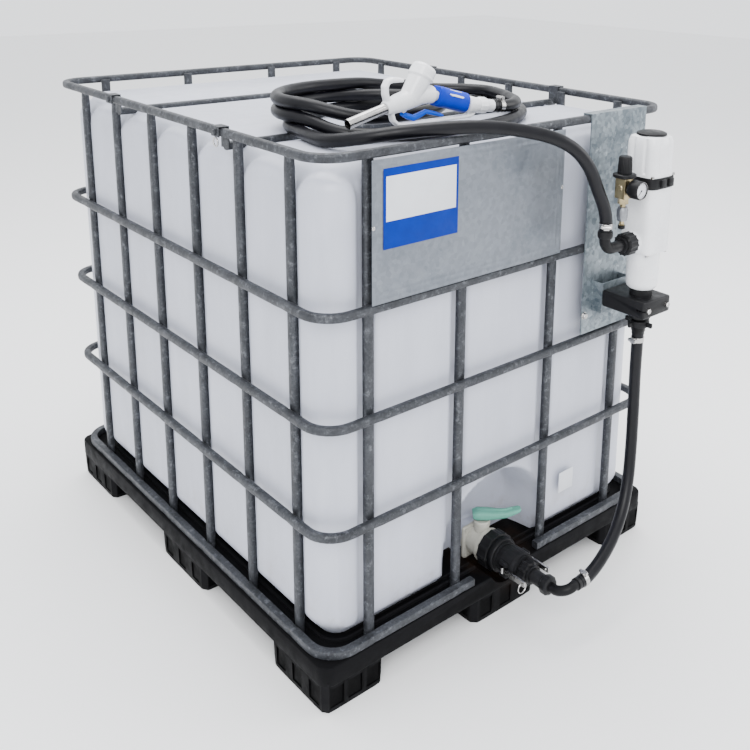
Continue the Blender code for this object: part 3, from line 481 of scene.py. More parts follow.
def merged(*works):
    """Put several bmeshes into the first."""
    first = works[0]
    for other in works[1:]:
        spare = bpy.data.meshes.new("spare")
        other.to_mesh(spare)
        other.free()
        first.from_mesh(spare)
        bpy.data.meshes.remove(spare)
    return first


def carve(work, tool, many=False):
    """Cut one closed bmesh with another; many says that the first is several that overlap."""
    items = []
    for source in (work, tool):
        mesh = bpy.data.meshes.new("carving")
        bmesh.ops.recalc_face_normals(source, faces=source.faces)
        source.to_mesh(mesh)
        source.free()
        item = bpy.data.objects.new("carving", mesh)
        bpy.context.scene.collection.objects.link(item)
        items.append(item)
    step = items[0].modifiers.new("carve", "BOOLEAN")
    step.object = items[1]
    step.use_self = many
    result = bpy.data.meshes.new_from_object(items[0].evaluated_get(bpy.context.evaluated_depsgraph_get()))
    carved = bmesh.new()
    carved.from_mesh(result)
    for item in items:
        spent = item.data
        bpy.data.objects.remove(item, do_unlink=True)
        bpy.data.meshes.remove(spent)
    bpy.data.meshes.remove(result)
    return carved


def moved(work, matrix):
    bmesh.ops.transform(work, verts=work.verts, matrix=matrix)
    return work


def rounded(work, width, segments=2, limit=30):
    """Bevel the sharp edges of a bmesh."""
    sharp = [edge for edge in work.edges if edge.is_manifold and edge.calc_face_angle() > math.radians(limit)]
    bmesh.ops.bevel(work, geom=sharp, offset=width, segments=segments, affect="EDGES", profile=0.5)
    return work


def catmull(points, per_span):
    """Points on a smooth curve through a route, straight along its first and last stretch."""
    route = [Vector(point) for point in points]
    dense = [route[0]]
    for before, here, after, beyond in zip(route, route[1:], route[2:], route[3:]):
        for part in range(per_span):
            t = part / per_span
            dense.append(0.5 * (
                2 * here + (after - before) * t
                + (2 * before - 5 * here + 4 * after - beyond) * t ** 2
                + (3 * here - before - 3 * after + beyond) * t ** 3
            ))
    return dense + [route[-2], route[-1]]


def hex_bolt(start, direction, across=0.010, height=0.006):
    work = lathe([(0, height), (across * 0.50, height), (across * 0.577, height * 0.85),
                  (across * 0.577, 0), (0, 0)], 6)
    return moved(work, frame_at(start, direction))


def hose_clamp(name, centre, along, radius, screw_side):
    """A worm-drive band with its screw housing."""
    half = 0.0055
    band = lathe([(radius, half), (radius + 0.0011, half), (radius + 0.0011, -half), (radius, -half), (radius, half)], 48)
    seat = rounded(brick((radius, -0.006, -0.0065), (radius + 0.0065, 0.006, 0.0065)), 0.0012)
    screw = moved(lathe([(0, 0.011), (0.0032, 0.011), (0.0042, 0.009), (0.0042, -0.009), (0, -0.009)], 20),
                  Matrix.Translation((radius + 0.0045, 0, 0)) @ Matrix.Rotation(math.radians(90), 4, "X"))
    at_hose = frame_at(centre, along, Vector(along).cross(screw_side))
    return place(name, moved(merged(band, seat, screw), at_hose), "steel")


# ---------------------------------------------------------------- hoses
def smooth_step(value):
    value = min(max(value, 0.0), 1.0)
    return value * value * (3 - 2 * value)


def even_sizes(points, radius):
    return [(radius, radius)] * len(points)


def on_turn(turn, degrees, level):
    """A place on an oval turn of hose, counted from its left end round the back."""
    (centre_x, centre_y), (half_x, half_y) = turn
    angle = math.radians(degrees)
    return Vector((centre_x - half_x * math.cos(angle), centre_y + half_y * math.sin(angle), level))


def coil_route():
    """One wide turn on the tank, a climb onto two smaller turns, and the way back down to the nozzle's tail."""
    lowest = FEED_ROUTE[-1][2]
    second, third = lowest + 2 * HOSE_R, lowest + 4 * HOSE_R
    route = list(FEED_ROUTE)
    route += [on_turn(LOWER_TURN, degrees, lowest) for degrees in range(12, 310, 12)]
    route += CLIMB_ROUTE
    climb_from, climb_to = 290, 345
    for degrees in range(-15, 456, 12):
        share = smooth_step((degrees - climb_from) / (climb_to - climb_from))
        route.append(on_turn(UPPER_TURNS, degrees, second + (third - second) * share))
    return route + list(LEAVE_ROUTE) + list(reversed(TAIL_ROUTE))


def curve_piece(name, points, radius, look):
    data = bpy.data.curves.new(name, "CURVE")
    data.dimensions = "3D"
    data.bevel_depth = radius
    data.bevel_resolution = 8
    data.use_fill_caps = True
    spline = data.splines.new("POLY")
    spline.points.add(len(points) - 1)
    for slot, point in zip(spline.points, points):
        slot.co = (*point, 1.0)
    piece = bpy.data.objects.new(name, data)
    bpy.context.scene.collection.objects.link(piece)
    data.materials.append(MATS[look])
    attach(piece, "root")
    return piece


def make_hoses():
    points = catmull(coil_route(), 4)
    delivery = curve_piece("delivery_hose", points, HOSE_R, "hose")
    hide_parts("delivery_hose_feed", "delivery_hose_tail", "delivery_hose_coil")
    suction_points = catmull(SUCTION_ROUTE, 6)
    suction = curve_piece("suction_hose_line", suction_points, HOSE_R, "hose")
    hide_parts("suction_hose")
    return delivery, points, suction, suction_points


delivery, delivery_points, suction, suction_points = make_hoses()


# ---------------------------------------------------------------- stage and camera
def stage():
    work = bmesh.new()
    bmesh.ops.create_grid(work, x_segments=1, y_segments=1, size=14.0)
    mesh = bpy.data.meshes.new("floor")
    work.to_mesh(mesh)
    work.free()
    floor = bpy.data.objects.new("floor", mesh)
    bpy.context.scene.collection.objects.link(floor)
    made, _shader = shader_of("pale_floor", (0.90, 0.90, 0.90), 0.65)
    mesh.materials.append(made)

    world = bpy.data.worlds.new("studio")
    bpy.context.scene.world = world
    world.use_nodes = True
    backdrop = world.node_tree.nodes["Background"]
    backdrop.inputs["Color"].default_value = (0.95, 0.97, 1.0, 1.0)
    backdrop.inputs["Strength"].default_value = 1.9

    for name, spot, aim, size, power in (
        ("key", (-2.6, -3.4, 3.6), (0, 0, 0.6), 2.6, 200),
        ("fill", (3.4, -2.4, 2.2), (0, 0, 0.5), 2.4, 60),
        ("top", (0.2, 0.6, 4.2), (0, 0, 0.8), 3.0, 190),
    ):
        light = bpy.data.lights.new(name, "AREA")
        light.size = size
        light.energy = power
        lamp = bpy.data.objects.new(name, light)
        lamp.location = spot
        lamp.rotation_euler = (Vector(spot) - Vector(aim)).to_track_quat("Z", "Y").to_euler()
        bpy.context.scene.collection.objects.link(lamp)


def camera():
    data = bpy.data.cameras.new("camera")
    data.lens = 45.9
    data.sensor_width = 36.0
    data.shift_x = -0.098
    data.shift_y = -0.250
    view = bpy.data.objects.new("camera", data)
    turn = Matrix.Rotation(math.radians(-42.04), 4, "Z") @ Matrix.Rotation(math.radians(90 - 14.04), 4, "X")
    roll = Matrix.Rotation(math.radians(1.05), 4, "Z")
    view.matrix_world = Matrix.Translation((-1.376, -1.903, 1.462)) @ turn @ roll
    bpy.context.scene.collection.objects.link(view)
    bpy.context.scene.camera = view


stage()
camera()


# ---------------------------------------------------------------- cage
def ring_route(half_x, half_y, level, skip_front):
    """The rail's route with extra points near every post, from the seam at the back or the front gap."""
    corner_steps = 8
    crimps = (-0.016, -0.009, 0.0, 0.009, 0.016)

    def run(start, finish, along_x, fixed):
        stops = POSTS_X if along_x else POSTS_Y
        marks = [(start, 1.0)]
        for stop in (stops if finish > start else list(reversed(stops))):
            for offset in (crimps if finish > start else list(reversed(crimps))):
                spot = stop + offset
                if min(start, finish) + 0.002 < spot < max(start, finish) - 0.002:
                    marks.append((spot, 1.0 if abs(offset) > 0.012 else (0.93 if offset else 0.86)))
        marks.append((finish, 1.0))
        return [((Vector((spot, fixed, level)) if along_x else Vector((fixed, spot, level))), size)
                for spot, size in marks]

    def corner(centre, start_turn):
        return [(centre + Vector((math.cos(a), math.sin(a), 0)) * RING_CORNER, 1.0)
                for a in (start_turn + math.pi / 2 * i / corner_steps for i in range(1, corner_steps))]

    in_x, in_y = half_x - RING_CORNER, half_y - RING_CORNER
    route = []
    quarter = math.pi / 2
    if skip_front:
        gap = 0.100
        route += run(gap, in_x, True, -half_y)
    else:
        seam = 0.001
        route += run(-seam, -in_x, True, half_y)
    legs = [
        (lambda: corner(Vector((in_x, -in_y, level)), -quarter), lambda: run(-in_y, in_y, False, half_x)),
        (lambda: corner(Vector((in_x, in_y, level)), 0.0), lambda: run(in_x, -in_x, True, half_y)),
        (lambda: corner(Vector((-in_x, in_y, level)), quarter), lambda: run(in_y, -in_y, False, -half_x)),
        (lambda: corner(Vector((-in_x, -in_y, level)), 2 * quarter), lambda: run(-in_x, in_x, True, -half_y)),
    ]
    first = 0 if skip_front else 2
    for step in range(4):
        bend, straight = legs[(first + step) % 4]
        route += bend()
        if step < 3:
            route += straight()
    if skip_front:
        route += run(-in_x, -gap, True, -half_y)
    else:
        route += run(in_x, seam, True, half_y)
    return route


def make_rings():
    for name in RINGS:
        route = ring_route(RING_X, RING_Y, RING_Z[name], name == "ring_base")
        points = [point for point, _size in route]
        sizes = [(TUBE_R * 0.97, TUBE_R * 0.97 * size) for _point, size in route]
        work = sweep(points, sizes, Z, 20, 9.0 if name == "ring_base" else 3.4)
        place(name.replace("ring", "rail"), work, "galvanised", "root", [name], 50)


def post_route(node):
    """A straight pressed tube behind the rails, flattened at its ends and where it meets a rail."""
    centre, bottom, top = middle(node), low(node).z + 0.0002, high(node).z
    stops = [(bottom, 1.26, 0.72), (bottom + 0.012, 1.24, 0.80), (bottom + 0.030, 1.18, 0.96)]
    for ring in RINGS[1:4]:
        for offset, wide, deep in ((-0.020, 1.17, 0.96), (-0.010, 1.22, 0.88), (0.0, 1.26, 0.78),
                                   (0.010, 1.22, 0.88), (0.020, 1.17, 0.96)):
            stops.append((RING_Z[ring] + offset, wide, deep))
    stops += [(top - 0.034, 1.18, 0.96), (top - 0.016, 1.24, 0.80), (top, 1.26, 0.72)]
    points = [Vector((centre.x, centre.y, level)) for level, _wide, _deep in stops]
    sizes = [(TUBE_R * wide, TUBE_R * deep) for _level, wide, deep in stops]
    return points, sizes


def make_posts():
    for side, count, across in (("front", 4, X), ("rear", 4, X), ("left", 6, Y), ("right", 6, Y)):
        for index in range(1, count + 1):
            node = f"post_{side}_{index}"
            points, sizes = post_route(node)
            place(f"upright_{side}_{index}", sweep(points, sizes, across, 16, 3.0), "galvanised", "root", [node], 50)


make_rings()
make_posts()


# ---------------------------------------------------------------- tank
ARCH_FOOT = 1.008
ARCH_RISE = 0.072
GROOVE_DEPTH = 0.006
PILLAR_RISE = 0.017


def bay_share(spot, stops):
    """Where a spot lies in its bay: -1 or 1 at a post, 0 half way between two posts."""
    edges = [2 * stops[0] - stops[1], *stops, 2 * stops[-1] - stops[-2]]
    for first, second in zip(edges, edges[1:]):
        if first <= spot <= second:
            return 2 * (spot - first) / (second - first) - 1
    return 0.0


def swelling(share, level):
    """How far the wall stands out: a flat column between two posts with an arched head, a groove behind each."""
    head = max(level - ARCH_FOOT, 0.0) / ARCH_RISE
    reach = (abs(share) ** 3 + head ** 3) ** (1 / 3)
    column = smooth_step((0.92 - reach) / 0.12) * smooth_step((level - 0.112) / 0.05)
    return column * PILLAR_RISE - GROOVE_DEPTH


def tank_point(spot, half, centre_z, rounding):
    """Push a point of a box's surface onto the bottle's surface."""
    inner = Vector([max(rounding - size, min(size - rounding, value)) for value, size in zip(spot, half)])
    out = (spot - inner).normalized()
    point = inner + out * rounding
    level = point.z + centre_z
    swell = (out.x ** 2 * swelling(bay_share(point.y, POSTS_Y), level)
             + out.y ** 2 * swelling(bay_share(point.x, POSTS_X), level))
    return point + Vector((out.x, out.y, 0)) * swell


def recess_depth(across, level):
    """How deep the outlet's arched recess is at a place on the front."""
    arch_z, radius, depth = 0.170, 0.150, 0.101
    reach = math.hypot(across, max(level - arch_z, 0.0))
    return depth * smooth_step((radius + 0.010 - reach) / 0.024)


def top_hollow(across, along):
    """How far the top dips for the lid's well and for the grooves that the cross bars lie in."""
    well = 0.045 * smooth_step((0.133 - math.hypot(across, along)) / 0.012)
    groove_depth = TANK_TOP - BAR_Z + 0.0100
    groove = 0.0
    for bar in BARS_Y:
        away = abs(along - bar)
        groove = max(groove, groove_depth * smooth_step((0.021 - away) / 0.009), 0.012 * smooth_step((0.085 - away) / 0.06))
    return max(well, groove)


def make_tank():
    box_low, box_high = low("tank_bottle"), high("tank_bottle")
    half = (box_high - box_low) / 2
    half.z = (TANK_TOP - box_low.z) / 2
    centre_z = (TANK_TOP + box_low.z) / 2
    front = -half.y
    work = bmesh.new()
    bmesh.ops.create_cube(work, size=2.0)
    bmesh.ops.subdivide_edges(work, edges=work.edges, cuts=139, use_grid_fill=True)
    for vert in work.verts:
        spread = [math.copysign(abs(value) ** 0.88, value) for value in vert.co]
        point = tank_point(Vector([value * size for value, size in zip(spread, half)]), half, centre_z, 0.058)
        level = point.z + centre_z
        if level > TANK_TOP - 0.012:
            point.z -= top_hollow(point.x, point.y)
        if level < 0.36:
            point.y = max(point.y, front + recess_depth(point.x, level))
        vert.co = point + Vector((0, 0, centre_z))
    place("bottle", work, "tank", "root", ["tank_bottle"], 75)

    neck = lathe([(0.078, 1.066), (0.079, 1.064), (0.079, 1.044), (0.070, 1.044), (0.070, 1.066), (0.078, 1.066)], 64)
    place("bottle_neck", neck, "tank")
    spigot = lathe([(0.0262, 0.041), (0.034, 0.041), (0.034, 0.014), (0.048, 0.0), (0.0262, 0.0), (0.0262, 0.041)], 48)
    outlet_face = high("valve_body").y + 0.0003
    place("bottle_spigot", moved(spigot, frame_at((0, outlet_face + 0.041, VALVE_Z), -Y)), "tank")
    label_front = front - (PILLAR_RISE - GROOVE_DEPTH) - 0.0008
    label = rounded(brick((0.200, label_front, 0.200), (0.250, label_front + 0.0006, 0.252)), 0.0001)
    place("tank_label", label, "label_white")


def make_lid():
    lid_low, lid_high = low("lid"), high("lid")
    radius = (lid_high.x - lid_low.x) / 2

    def grips(turn, reach, height):
        if reach < radius - 0.005:
            return reach
        return reach - 0.0015 * (0.5 + 0.5 * math.cos(36 * turn))

    top, foot = lid_high.z, lid_low.z
    profile = [
        (0, top - 0.003), (0.050, top - 0.003), (0.054, top), (radius - 0.004, top), (radius, top - 0.004),
        (radius, foot), (0.0792, foot), (0.0792, top - 0.0072), (0, top - 0.0072),
    ]
    place("lid_cap", lathe(profile, 144, grips), "black", "lid", ["lid"])


# ---------------------------------------------------------------- pallet
def rounded_outline(half_x, half_y, radius, steps=7):
    outline = []
    for quarter, (side_x, side_y) in enumerate(((1, 1), (-1, 1), (-1, -1), (1, -1))):
        for step in range(steps + 1):
            turn = (quarter + step / steps) * math.pi / 2
            outline.append((side_x * (half_x - radius) + radius * math.cos(turn),
                            side_y * (half_y - radius) + radius * math.sin(turn)))
    return outline


def curb(half_x, half_y, radius, width, floor, top):
    """A low wall that runs round the deck."""
    outer = slab(rounded_outline(half_x, half_y, radius), top - floor)
    hollow = slab(rounded_outline(half_x - width, half_y - width, radius - width), top - floor + 0.02)
    return moved(carve(outer, hollow), Matrix.Translation((0, 0, (top + floor) / 2)))


def make_pallet():
    top = high("pallet").z
    half_x, half_y = high("pallet").x, high("pallet").y
    under = 0.062
    deck = slab(rounded_outline(half_x, half_y, 0.028), top - under)
    deck = rounded(moved(deck, Matrix.Translation((0, 0, (top + under) / 2))), 0.004)
    channel = lathe([(0, 0), (0.056, 0), (0.056, 0.20), (0, 0.20)], 40)
    deck = carve(deck, moved(channel, frame_at((0, -0.440, VALVE_Z), -Y)))
    curbs = [
        curb(0.4515, 0.5555, 0.050, 0.006, top - 0.004, top + 0.006),
        curb(0.430, 0.534, 0.042, 0.004, top - 0.004, top + 0.004),
    ]
    for wall in curbs:
        gap = brick((-0.056, -half_y, top - 0.01), (0.056, -0.44, top + 0.02))
        deck = merged(deck, carve(wall, gap))

    pocket_low, pocket_high, pocket_half, pocket_deep = 0.012, 0.055, 0.016, 0.0035
    feet = []
    for side_x in (-1, 0, 1):
        for side_y in (-1, 0, 1):
            size_x, size_y = (0.075 if side_x else 0.100), (0.100 if side_y else 0.110)
            spot = Vector((side_x * (half_x - 0.0025 - size_x), side_y * (half_y - 0.0025 - size_y), 0))
            levels = [(0.0, 0.955), (0.004, 0.975), (0.030, 0.99), (under + 0.010, 1.0)]
            points = [spot + Z * level for level, _scale in levels]
            foot = sweep(points, [(size_x * scale, size_y * scale) for _level, scale in levels], X, 48, 14.0)
            pockets = []
            for place_on in (-0.6, 0.0, 0.6):
                for side in (-1, 1):
                    across, along = side * (size_x + pocket_half - pocket_deep), place_on * size_y
                    pockets.append(brick(spot + Vector((across - pocket_half, along - pocket_half, pocket_low)),
                                         spot + Vector((across + pocket_half, along + pocket_half, pocket_high))))
                    across, along = place_on * size_x, side * (size_y + pocket_half - pocket_deep)
                    pockets.append(brick(spot + Vector((across - pocket_half, along - pocket_half, pocket_low)),
                                         spot + Vector((across + pocket_half, along + pocket_half, pocket_high))))
            feet.append(carve(foot, merged(*pockets)))
    place("pallet_moulding", merged(deck, *feet), "pallet", "root", ["pallet"], 30)


# ---------------------------------------------------------------- bars, plates and small steel
def make_top_bars():
    for number, node in enumerate(("top_bar_front", "top_bar_rear")):
        along = middle(node).y
        level = low(node).z + TUBE_R
        inner, outer = RING_X - TUBE_R - 0.0016, RING_X + TUBE_R + 0.0016
        rail_top = RING_Z["ring_top"] + TUBE_R + 0.0016
        bar = sweep([Vector((-inner, along, level)), Vector((inner, along, level))],
                    even_sizes([0, 1], TUBE_R * 0.97), Z, 24, 3.0)
        hooks = []
        for side in (-1, 1):
            path = [(inner, level - 0.004), (inner, rail_top), (outer, rail_top), (outer, RING_Z["ring_top"] - 0.009)]
            points = [Vector((side * across, along, height)) for across, height in path]
            hooks.append(flat_sweep(points, 0.015, 0.0012, Y))
            hooks.append(hex_bolt((side * (outer + 0.001), along, RING_Z["ring_top"]), X * side, 0.011, 0.004))
        place(f"cross_bar_{number + 1}", merged(bar, *hooks), "galvanised", "root", [node], 40)
    eye = lathe([(0.0085 + 0.0018 * math.cos(t), 0.0018 * math.sin(t))
                 for t in (2 * math.pi * step / 12 for step in range(12))] + [(0.0103, 0.0)], 32)
    eye_x = -(RING_X + TUBE_R + 0.0016)
    place("bracket_eye", moved(eye, frame_at((eye_x, middle("top_bar_front").y, 1.090), X)), "steel")
    tie_y = middle("top_bar_rear").y
    tie = lathe([(0.0096, 0.0024), (0.0108, 0.0024), (0.0108, -0.0024), (0.0096, -0.0024), (0.0096, 0.0024)], 32)
    head = brick((-0.0030, 0.0100, -0.0032), (0.0030, 0.0150, 0.0032))
    loose = brick((-0.0018, 0.0140, -0.0008), (0.0018, 0.0270, 0.0008))
    level = low("top_bar_rear").z + TUBE_R
    place("cable_tie", moved(merged(tie, head, loose), frame_at((0.030, tie_y, level), X, Y)), "tie")


def make_front_plate():
    box_low, box_high = low("front_plate"), high("front_plate")
    columns, rows = 204, 110
    work = bmesh.new()
    grid = []
    for row in range(rows + 1):
        level = box_low.z + (box_high.z - box_low.z) * row / rows
        line = []
        for column in range(columns + 1):
            across = box_low.x + (box_high.x - box_low.x) * column / columns
            edge = min(across - box_low.x, box_high.x - across, level - box_low.z, box_high.z - level)
            ridge = sum(math.exp(-((edge - place_in) / 0.0022) ** 2) for place_in in (0.007, 0.019))
            crease = math.exp(-((across + 0.02 - 0.35 * (level - 0.96)) / 0.006) ** 2)
            ripple = 0.0004 * noise(Vector((across * 9, 0.0, level * 9)))
            line.append(work.verts.new((across, box_high.y - 0.0011 - 0.0009 * ridge + 0.0003 * crease + ripple, level)))
        grid.append(line)
    for lower, upper in zip(grid, grid[1:]):
        for column in range(columns):
            work.faces.new([lower[column], lower[column + 1], upper[column + 1], upper[column]])
    plate = place("notice_plate", work, "plain_sheet", "root", ["front_plate"])
    wall = plate.modifiers.new("wall", "SOLIDIFY")
    wall.thickness = 0.0008
    wall.offset = -1.0
    face = box_high.y - 0.0011
    backing = rounded(brick((-0.357, face - 0.0012, 0.930), (-0.176, face - 0.0006, 1.081)), 0.0001)
    place("notice_backing", backing, "label_blue")
    panel = rounded(brick((-0.351, face - 0.0015, 0.982), (-0.182, face - 0.0010, 1.066)), 0.0001)
    place("notice_panel", panel, "label_white")
    rivets = [lathe([(0, 0.0016), (0.0026, 0.0012), (0.0040, 0), (0, 0)], 16) for _side in range(2)]
    spots = ((box_low.x + 0.0035, 0.974), (box_high.x - 0.0035, 0.974))
    heads = [moved(rivet, frame_at((across, face - 0.0004, level), -Y)) for rivet, (across, level) in zip(rivets, spots)]
    place("notice_rivets", merged(*heads), "steel")


def make_bracket_fixings():
    sheet_front = low("front_plate").y - 0.0018
    bolts = []
    for across in (0.217, 0.377):
        washer = lathe([(0, 0.0016), (0.0085, 0.0016), (0.0085, 0), (0, 0)], 24)
        bolts.append(moved(washer, frame_at((across, sheet_front, 0.660), -Y)))
        bolts.append(hex_bolt((across, sheet_front - 0.0016, 0.660), -Y, 0.012, 0.006))
    place("bracket_bolts", merged(*bolts), "steel")


# ---------------------------------------------------------------- outlet valve
def along_y(profile, start_y, steps=64, wave=None):
    """Turn a profile on the outlet's axis, its heights running forward from start_y."""
    return moved(lathe(profile, steps, wave), frame_at((0, start_y, VALVE_Z), -Y))


def lugs(count, rise, band, sharpness=3):
    """A wave that raises grip lugs on the part of a profile whose radius reaches band."""
    def wave(turn, reach, _height):
        if reach < band:
            return reach
        return reach + rise * max(0.0, math.cos(count * turn / 2)) ** sharpness if count % 2 else (
            reach + rise * (0.5 + 0.5 * math.cos(count * turn)) ** sharpness)
    return wave


def make_valve():
    back, front = high("valve_body").y, low("valve_body").y
    run = back - front
    handle_y = middle("valve_body").y
    barrel = along_y([
        (0.0262, 0), (0.0405, 0), (0.0405, 0.007), (0.0350, 0.009), (0.0345, run - 0.012), (0.0400, run - 0.010),
        (0.0400, run), (0.0262, run), (0.0262, 0),
    ], back, 64)
    flange = rounded(brick((-0.041, -0.0045, -0.041), (0.041, 0.0045, 0.041)), 0.006, 3)
    flange = moved(flange, Matrix.Translation((0, back - 0.0048, VALVE_Z)))
    flange = carve(flange, moved(lathe([(0, -0.02), (0.0262, -0.02), (0.0262, 0.02), (0, 0.02)], 48),
                                 frame_at((0, back, VALVE_Z), -Y)))
    tower = moved(lathe([
        (0.0066, 0.0575), (0.0175, 0.0575), (0.0195, 0.0550), (0.0195, 0.046), (0.0170, 0.044), (0.0180, 0.028),
        (0.0066, 0.028), (0.0066, 0.0575),
    ], 48), Matrix.Translation((0, HANDLE_Y, VALVE_Z)))
    screws = []
    for across in (-0.033, 0.033):
        for up in (-0.033, 0.033):
            screws.append(hex_bolt((across, back - 0.0093, VALVE_Z + up), -Y, 0.007, 0.003))
    place("valve_shell", merged(barrel, flange, tower, *screws), "cream", "root", ["valve_body"])

    at_pivot = Matrix.Translation((0, HANDLE_Y, VALVE_Z)) @ Matrix.Rotation(LEVER_TURN, 4, "Z")
    rise = 0.071
    route = [(-0.022, rise), (-0.012, rise + 0.001), (0.012, rise), (0.034, rise - 0.001), (0.054, rise),
             (0.070, rise + 0.005), (0.084, rise + 0.010), (0.089, rise + 0.012)]
    half_sizes = [(0.013, 0.008), (0.0165, 0.011), (0.0165, 0.011), (0.0140, 0.0088), (0.0130, 0.0075),
                  (0.0120, 0.0062), (0.0110, 0.0048), (0.0070, 0.0028)]
    paddle = sweep([Vector((across, 0, height)) for across, height in route], half_sizes, Y, 28, 3.6)
    ridge = sweep([Vector((across, 0, height + 0.008)) for across, height in route[1:6]],
                  [(0.0022, 0.0040)] * 5, Y, 12, 3.0)
    stem = lathe([(0, 0.066), (0.006, 0.066), (0.006, 0), (0, 0)], 24)
    disc = moved(lathe([(0, 0), (0.0250, 0), (0.0250, 0.004), (0, 0.004)], 48), frame_at((0, 0.002, 0), -Y))
    lever = moved(merged(paddle, ridge, stem, disc), at_pivot)
    place("lever", lever, "green", "valve_handle", ["valve_handle"])


def make_couplings():
    nut_back, nut_front = high("valve_nut").y, low("valve_nut").y
    run = nut_back - nut_front
    nut = along_y([
        (0.0302, 0), (0.0400, 0), (0.0430, 0.003), (0.0430, 0.62 * run), (0.0405, 0.66 * run), (0.0405, run - 0.003),
        (0.0385, run), (0.0302, run), (0.0302, 0),
    ], nut_back, 144, lugs(12, 0.0024, 0.042))
    place("outlet_nut", nut, "black", "valve_nut", ["valve_nut"])

    adapter_back = high("cam_coupler").y
    cam_y = high("cam_lever_left").y - 0.0045
    collars = merged(
        along_y([(0.0312, 0), (0.0350, 0), (0.0350, 0.006), (0.0312, 0.006), (0.0312, 0)], adapter_back - 0.0005),
        along_y([(0.0312, 0), (0.0342, 0), (0.0328, 0.009), (0.0312, 0.009), (0.0312, 0)], cam_y - 0.0165),
    )
    ears = []
    for side in (-1, 1):
        for up in (-1, 1):
            ear = brick((side * 0.0350 - 0.0035, cam_y - 0.011, VALVE_Z + up * 0.0135 - 0.0042),
                        (side * 0.0350 + 0.0035, cam_y + 0.011, VALVE_Z + up * 0.0135 + 0.0042))
            ears.append(rounded(ear, 0.0012))
    place("coupler_collars", merged(collars, *ears), "black")

    nut_back, nut_front = high("reducer_nut").y, low("reducer_nut").y
    run = nut_back - nut_front
    nut = along_y([
        (0.0167, 0), (0.0225, 0), (0.0245, 0.002), (0.0245, run - 0.009), (0.0215, run - 0.006), (0.0215, run),
        (0.0167, run), (0.0167, 0),
    ], nut_back, 120, lugs(10, 0.0050, 0.0240))
    place("reducing_nut", nut, "black", "reducer_nut", ["reducer_nut"])

    start = nut_front - 0.0003
    hose_start = Vector(SUCTION_ROUTE[0])
    bend, radius = 0.026, 0.0112
    arc = [Vector((0, start, VALVE_Z))]
    for step in range(13):
        turn = math.pi / 2 * step / 12
        arc.append(Vector((bend - bend * math.cos(turn), hose_start.y + bend * (1 - math.sin(turn)),
                           VALVE_Z + (hose_start.z - VALVE_Z) * step / 12)))
    arc.append(hose_start - X * 0.0003)
    neck = along_y([(0, 0), (0.0160, 0), (0.0160, 0.029), (0.0148, 0.030), (0, 0.030)], start)
    collar = along_y([(0, 0.032), (0.0190, 0.032), (0.0205, 0.034), (0.0205, 0.048), (0.0165, 0.052), (0, 0.052)],
                     start, 96, lugs(8, 0.0012, 0.0200))
    rim = moved(lathe([(0, 0), (0.0135, 0), (0.0135, 0.008), (0.0125, 0.010), (0, 0.010)], 40),
                frame_at(hose_start - X * 0.0105, X))
    elbow = sweep(arc, even_sizes(arc, radius), None, 28)
    elbow_piece = place("outlet_elbow_low", merged(elbow, neck, collar, rim), "black", "root", ["suction_elbow"])
    clamp = hose_clamp("suction_clamp_low", hose_start + X * 0.014, X, HOSE_R + 0.0001, Z)
    return [elbow_piece, clamp]


# ---------------------------------------------------------------- pump
def squared(power, flutes=0, depth=0.0, band=(0.0, 0.0)):
    """A wave that turns a circle into a rounded square, with upright flutes between two heights."""
    def wave(turn, reach, height):
        c, s = abs(math.cos(turn)), abs(math.sin(turn))
        radius = reach * (c ** power + s ** power) ** (-1 / power)
        if flutes and band[0] < height < band[1] and reach > 0.035:
            radius -= depth * (0.5 - 0.5 * math.cos(flutes * turn)) ** 6
        return radius
    return wave


def upright(profile, steps=72, wave=None, centre=None):
    return moved(lathe(profile, steps, wave), Matrix.Translation(centre or PUMP))


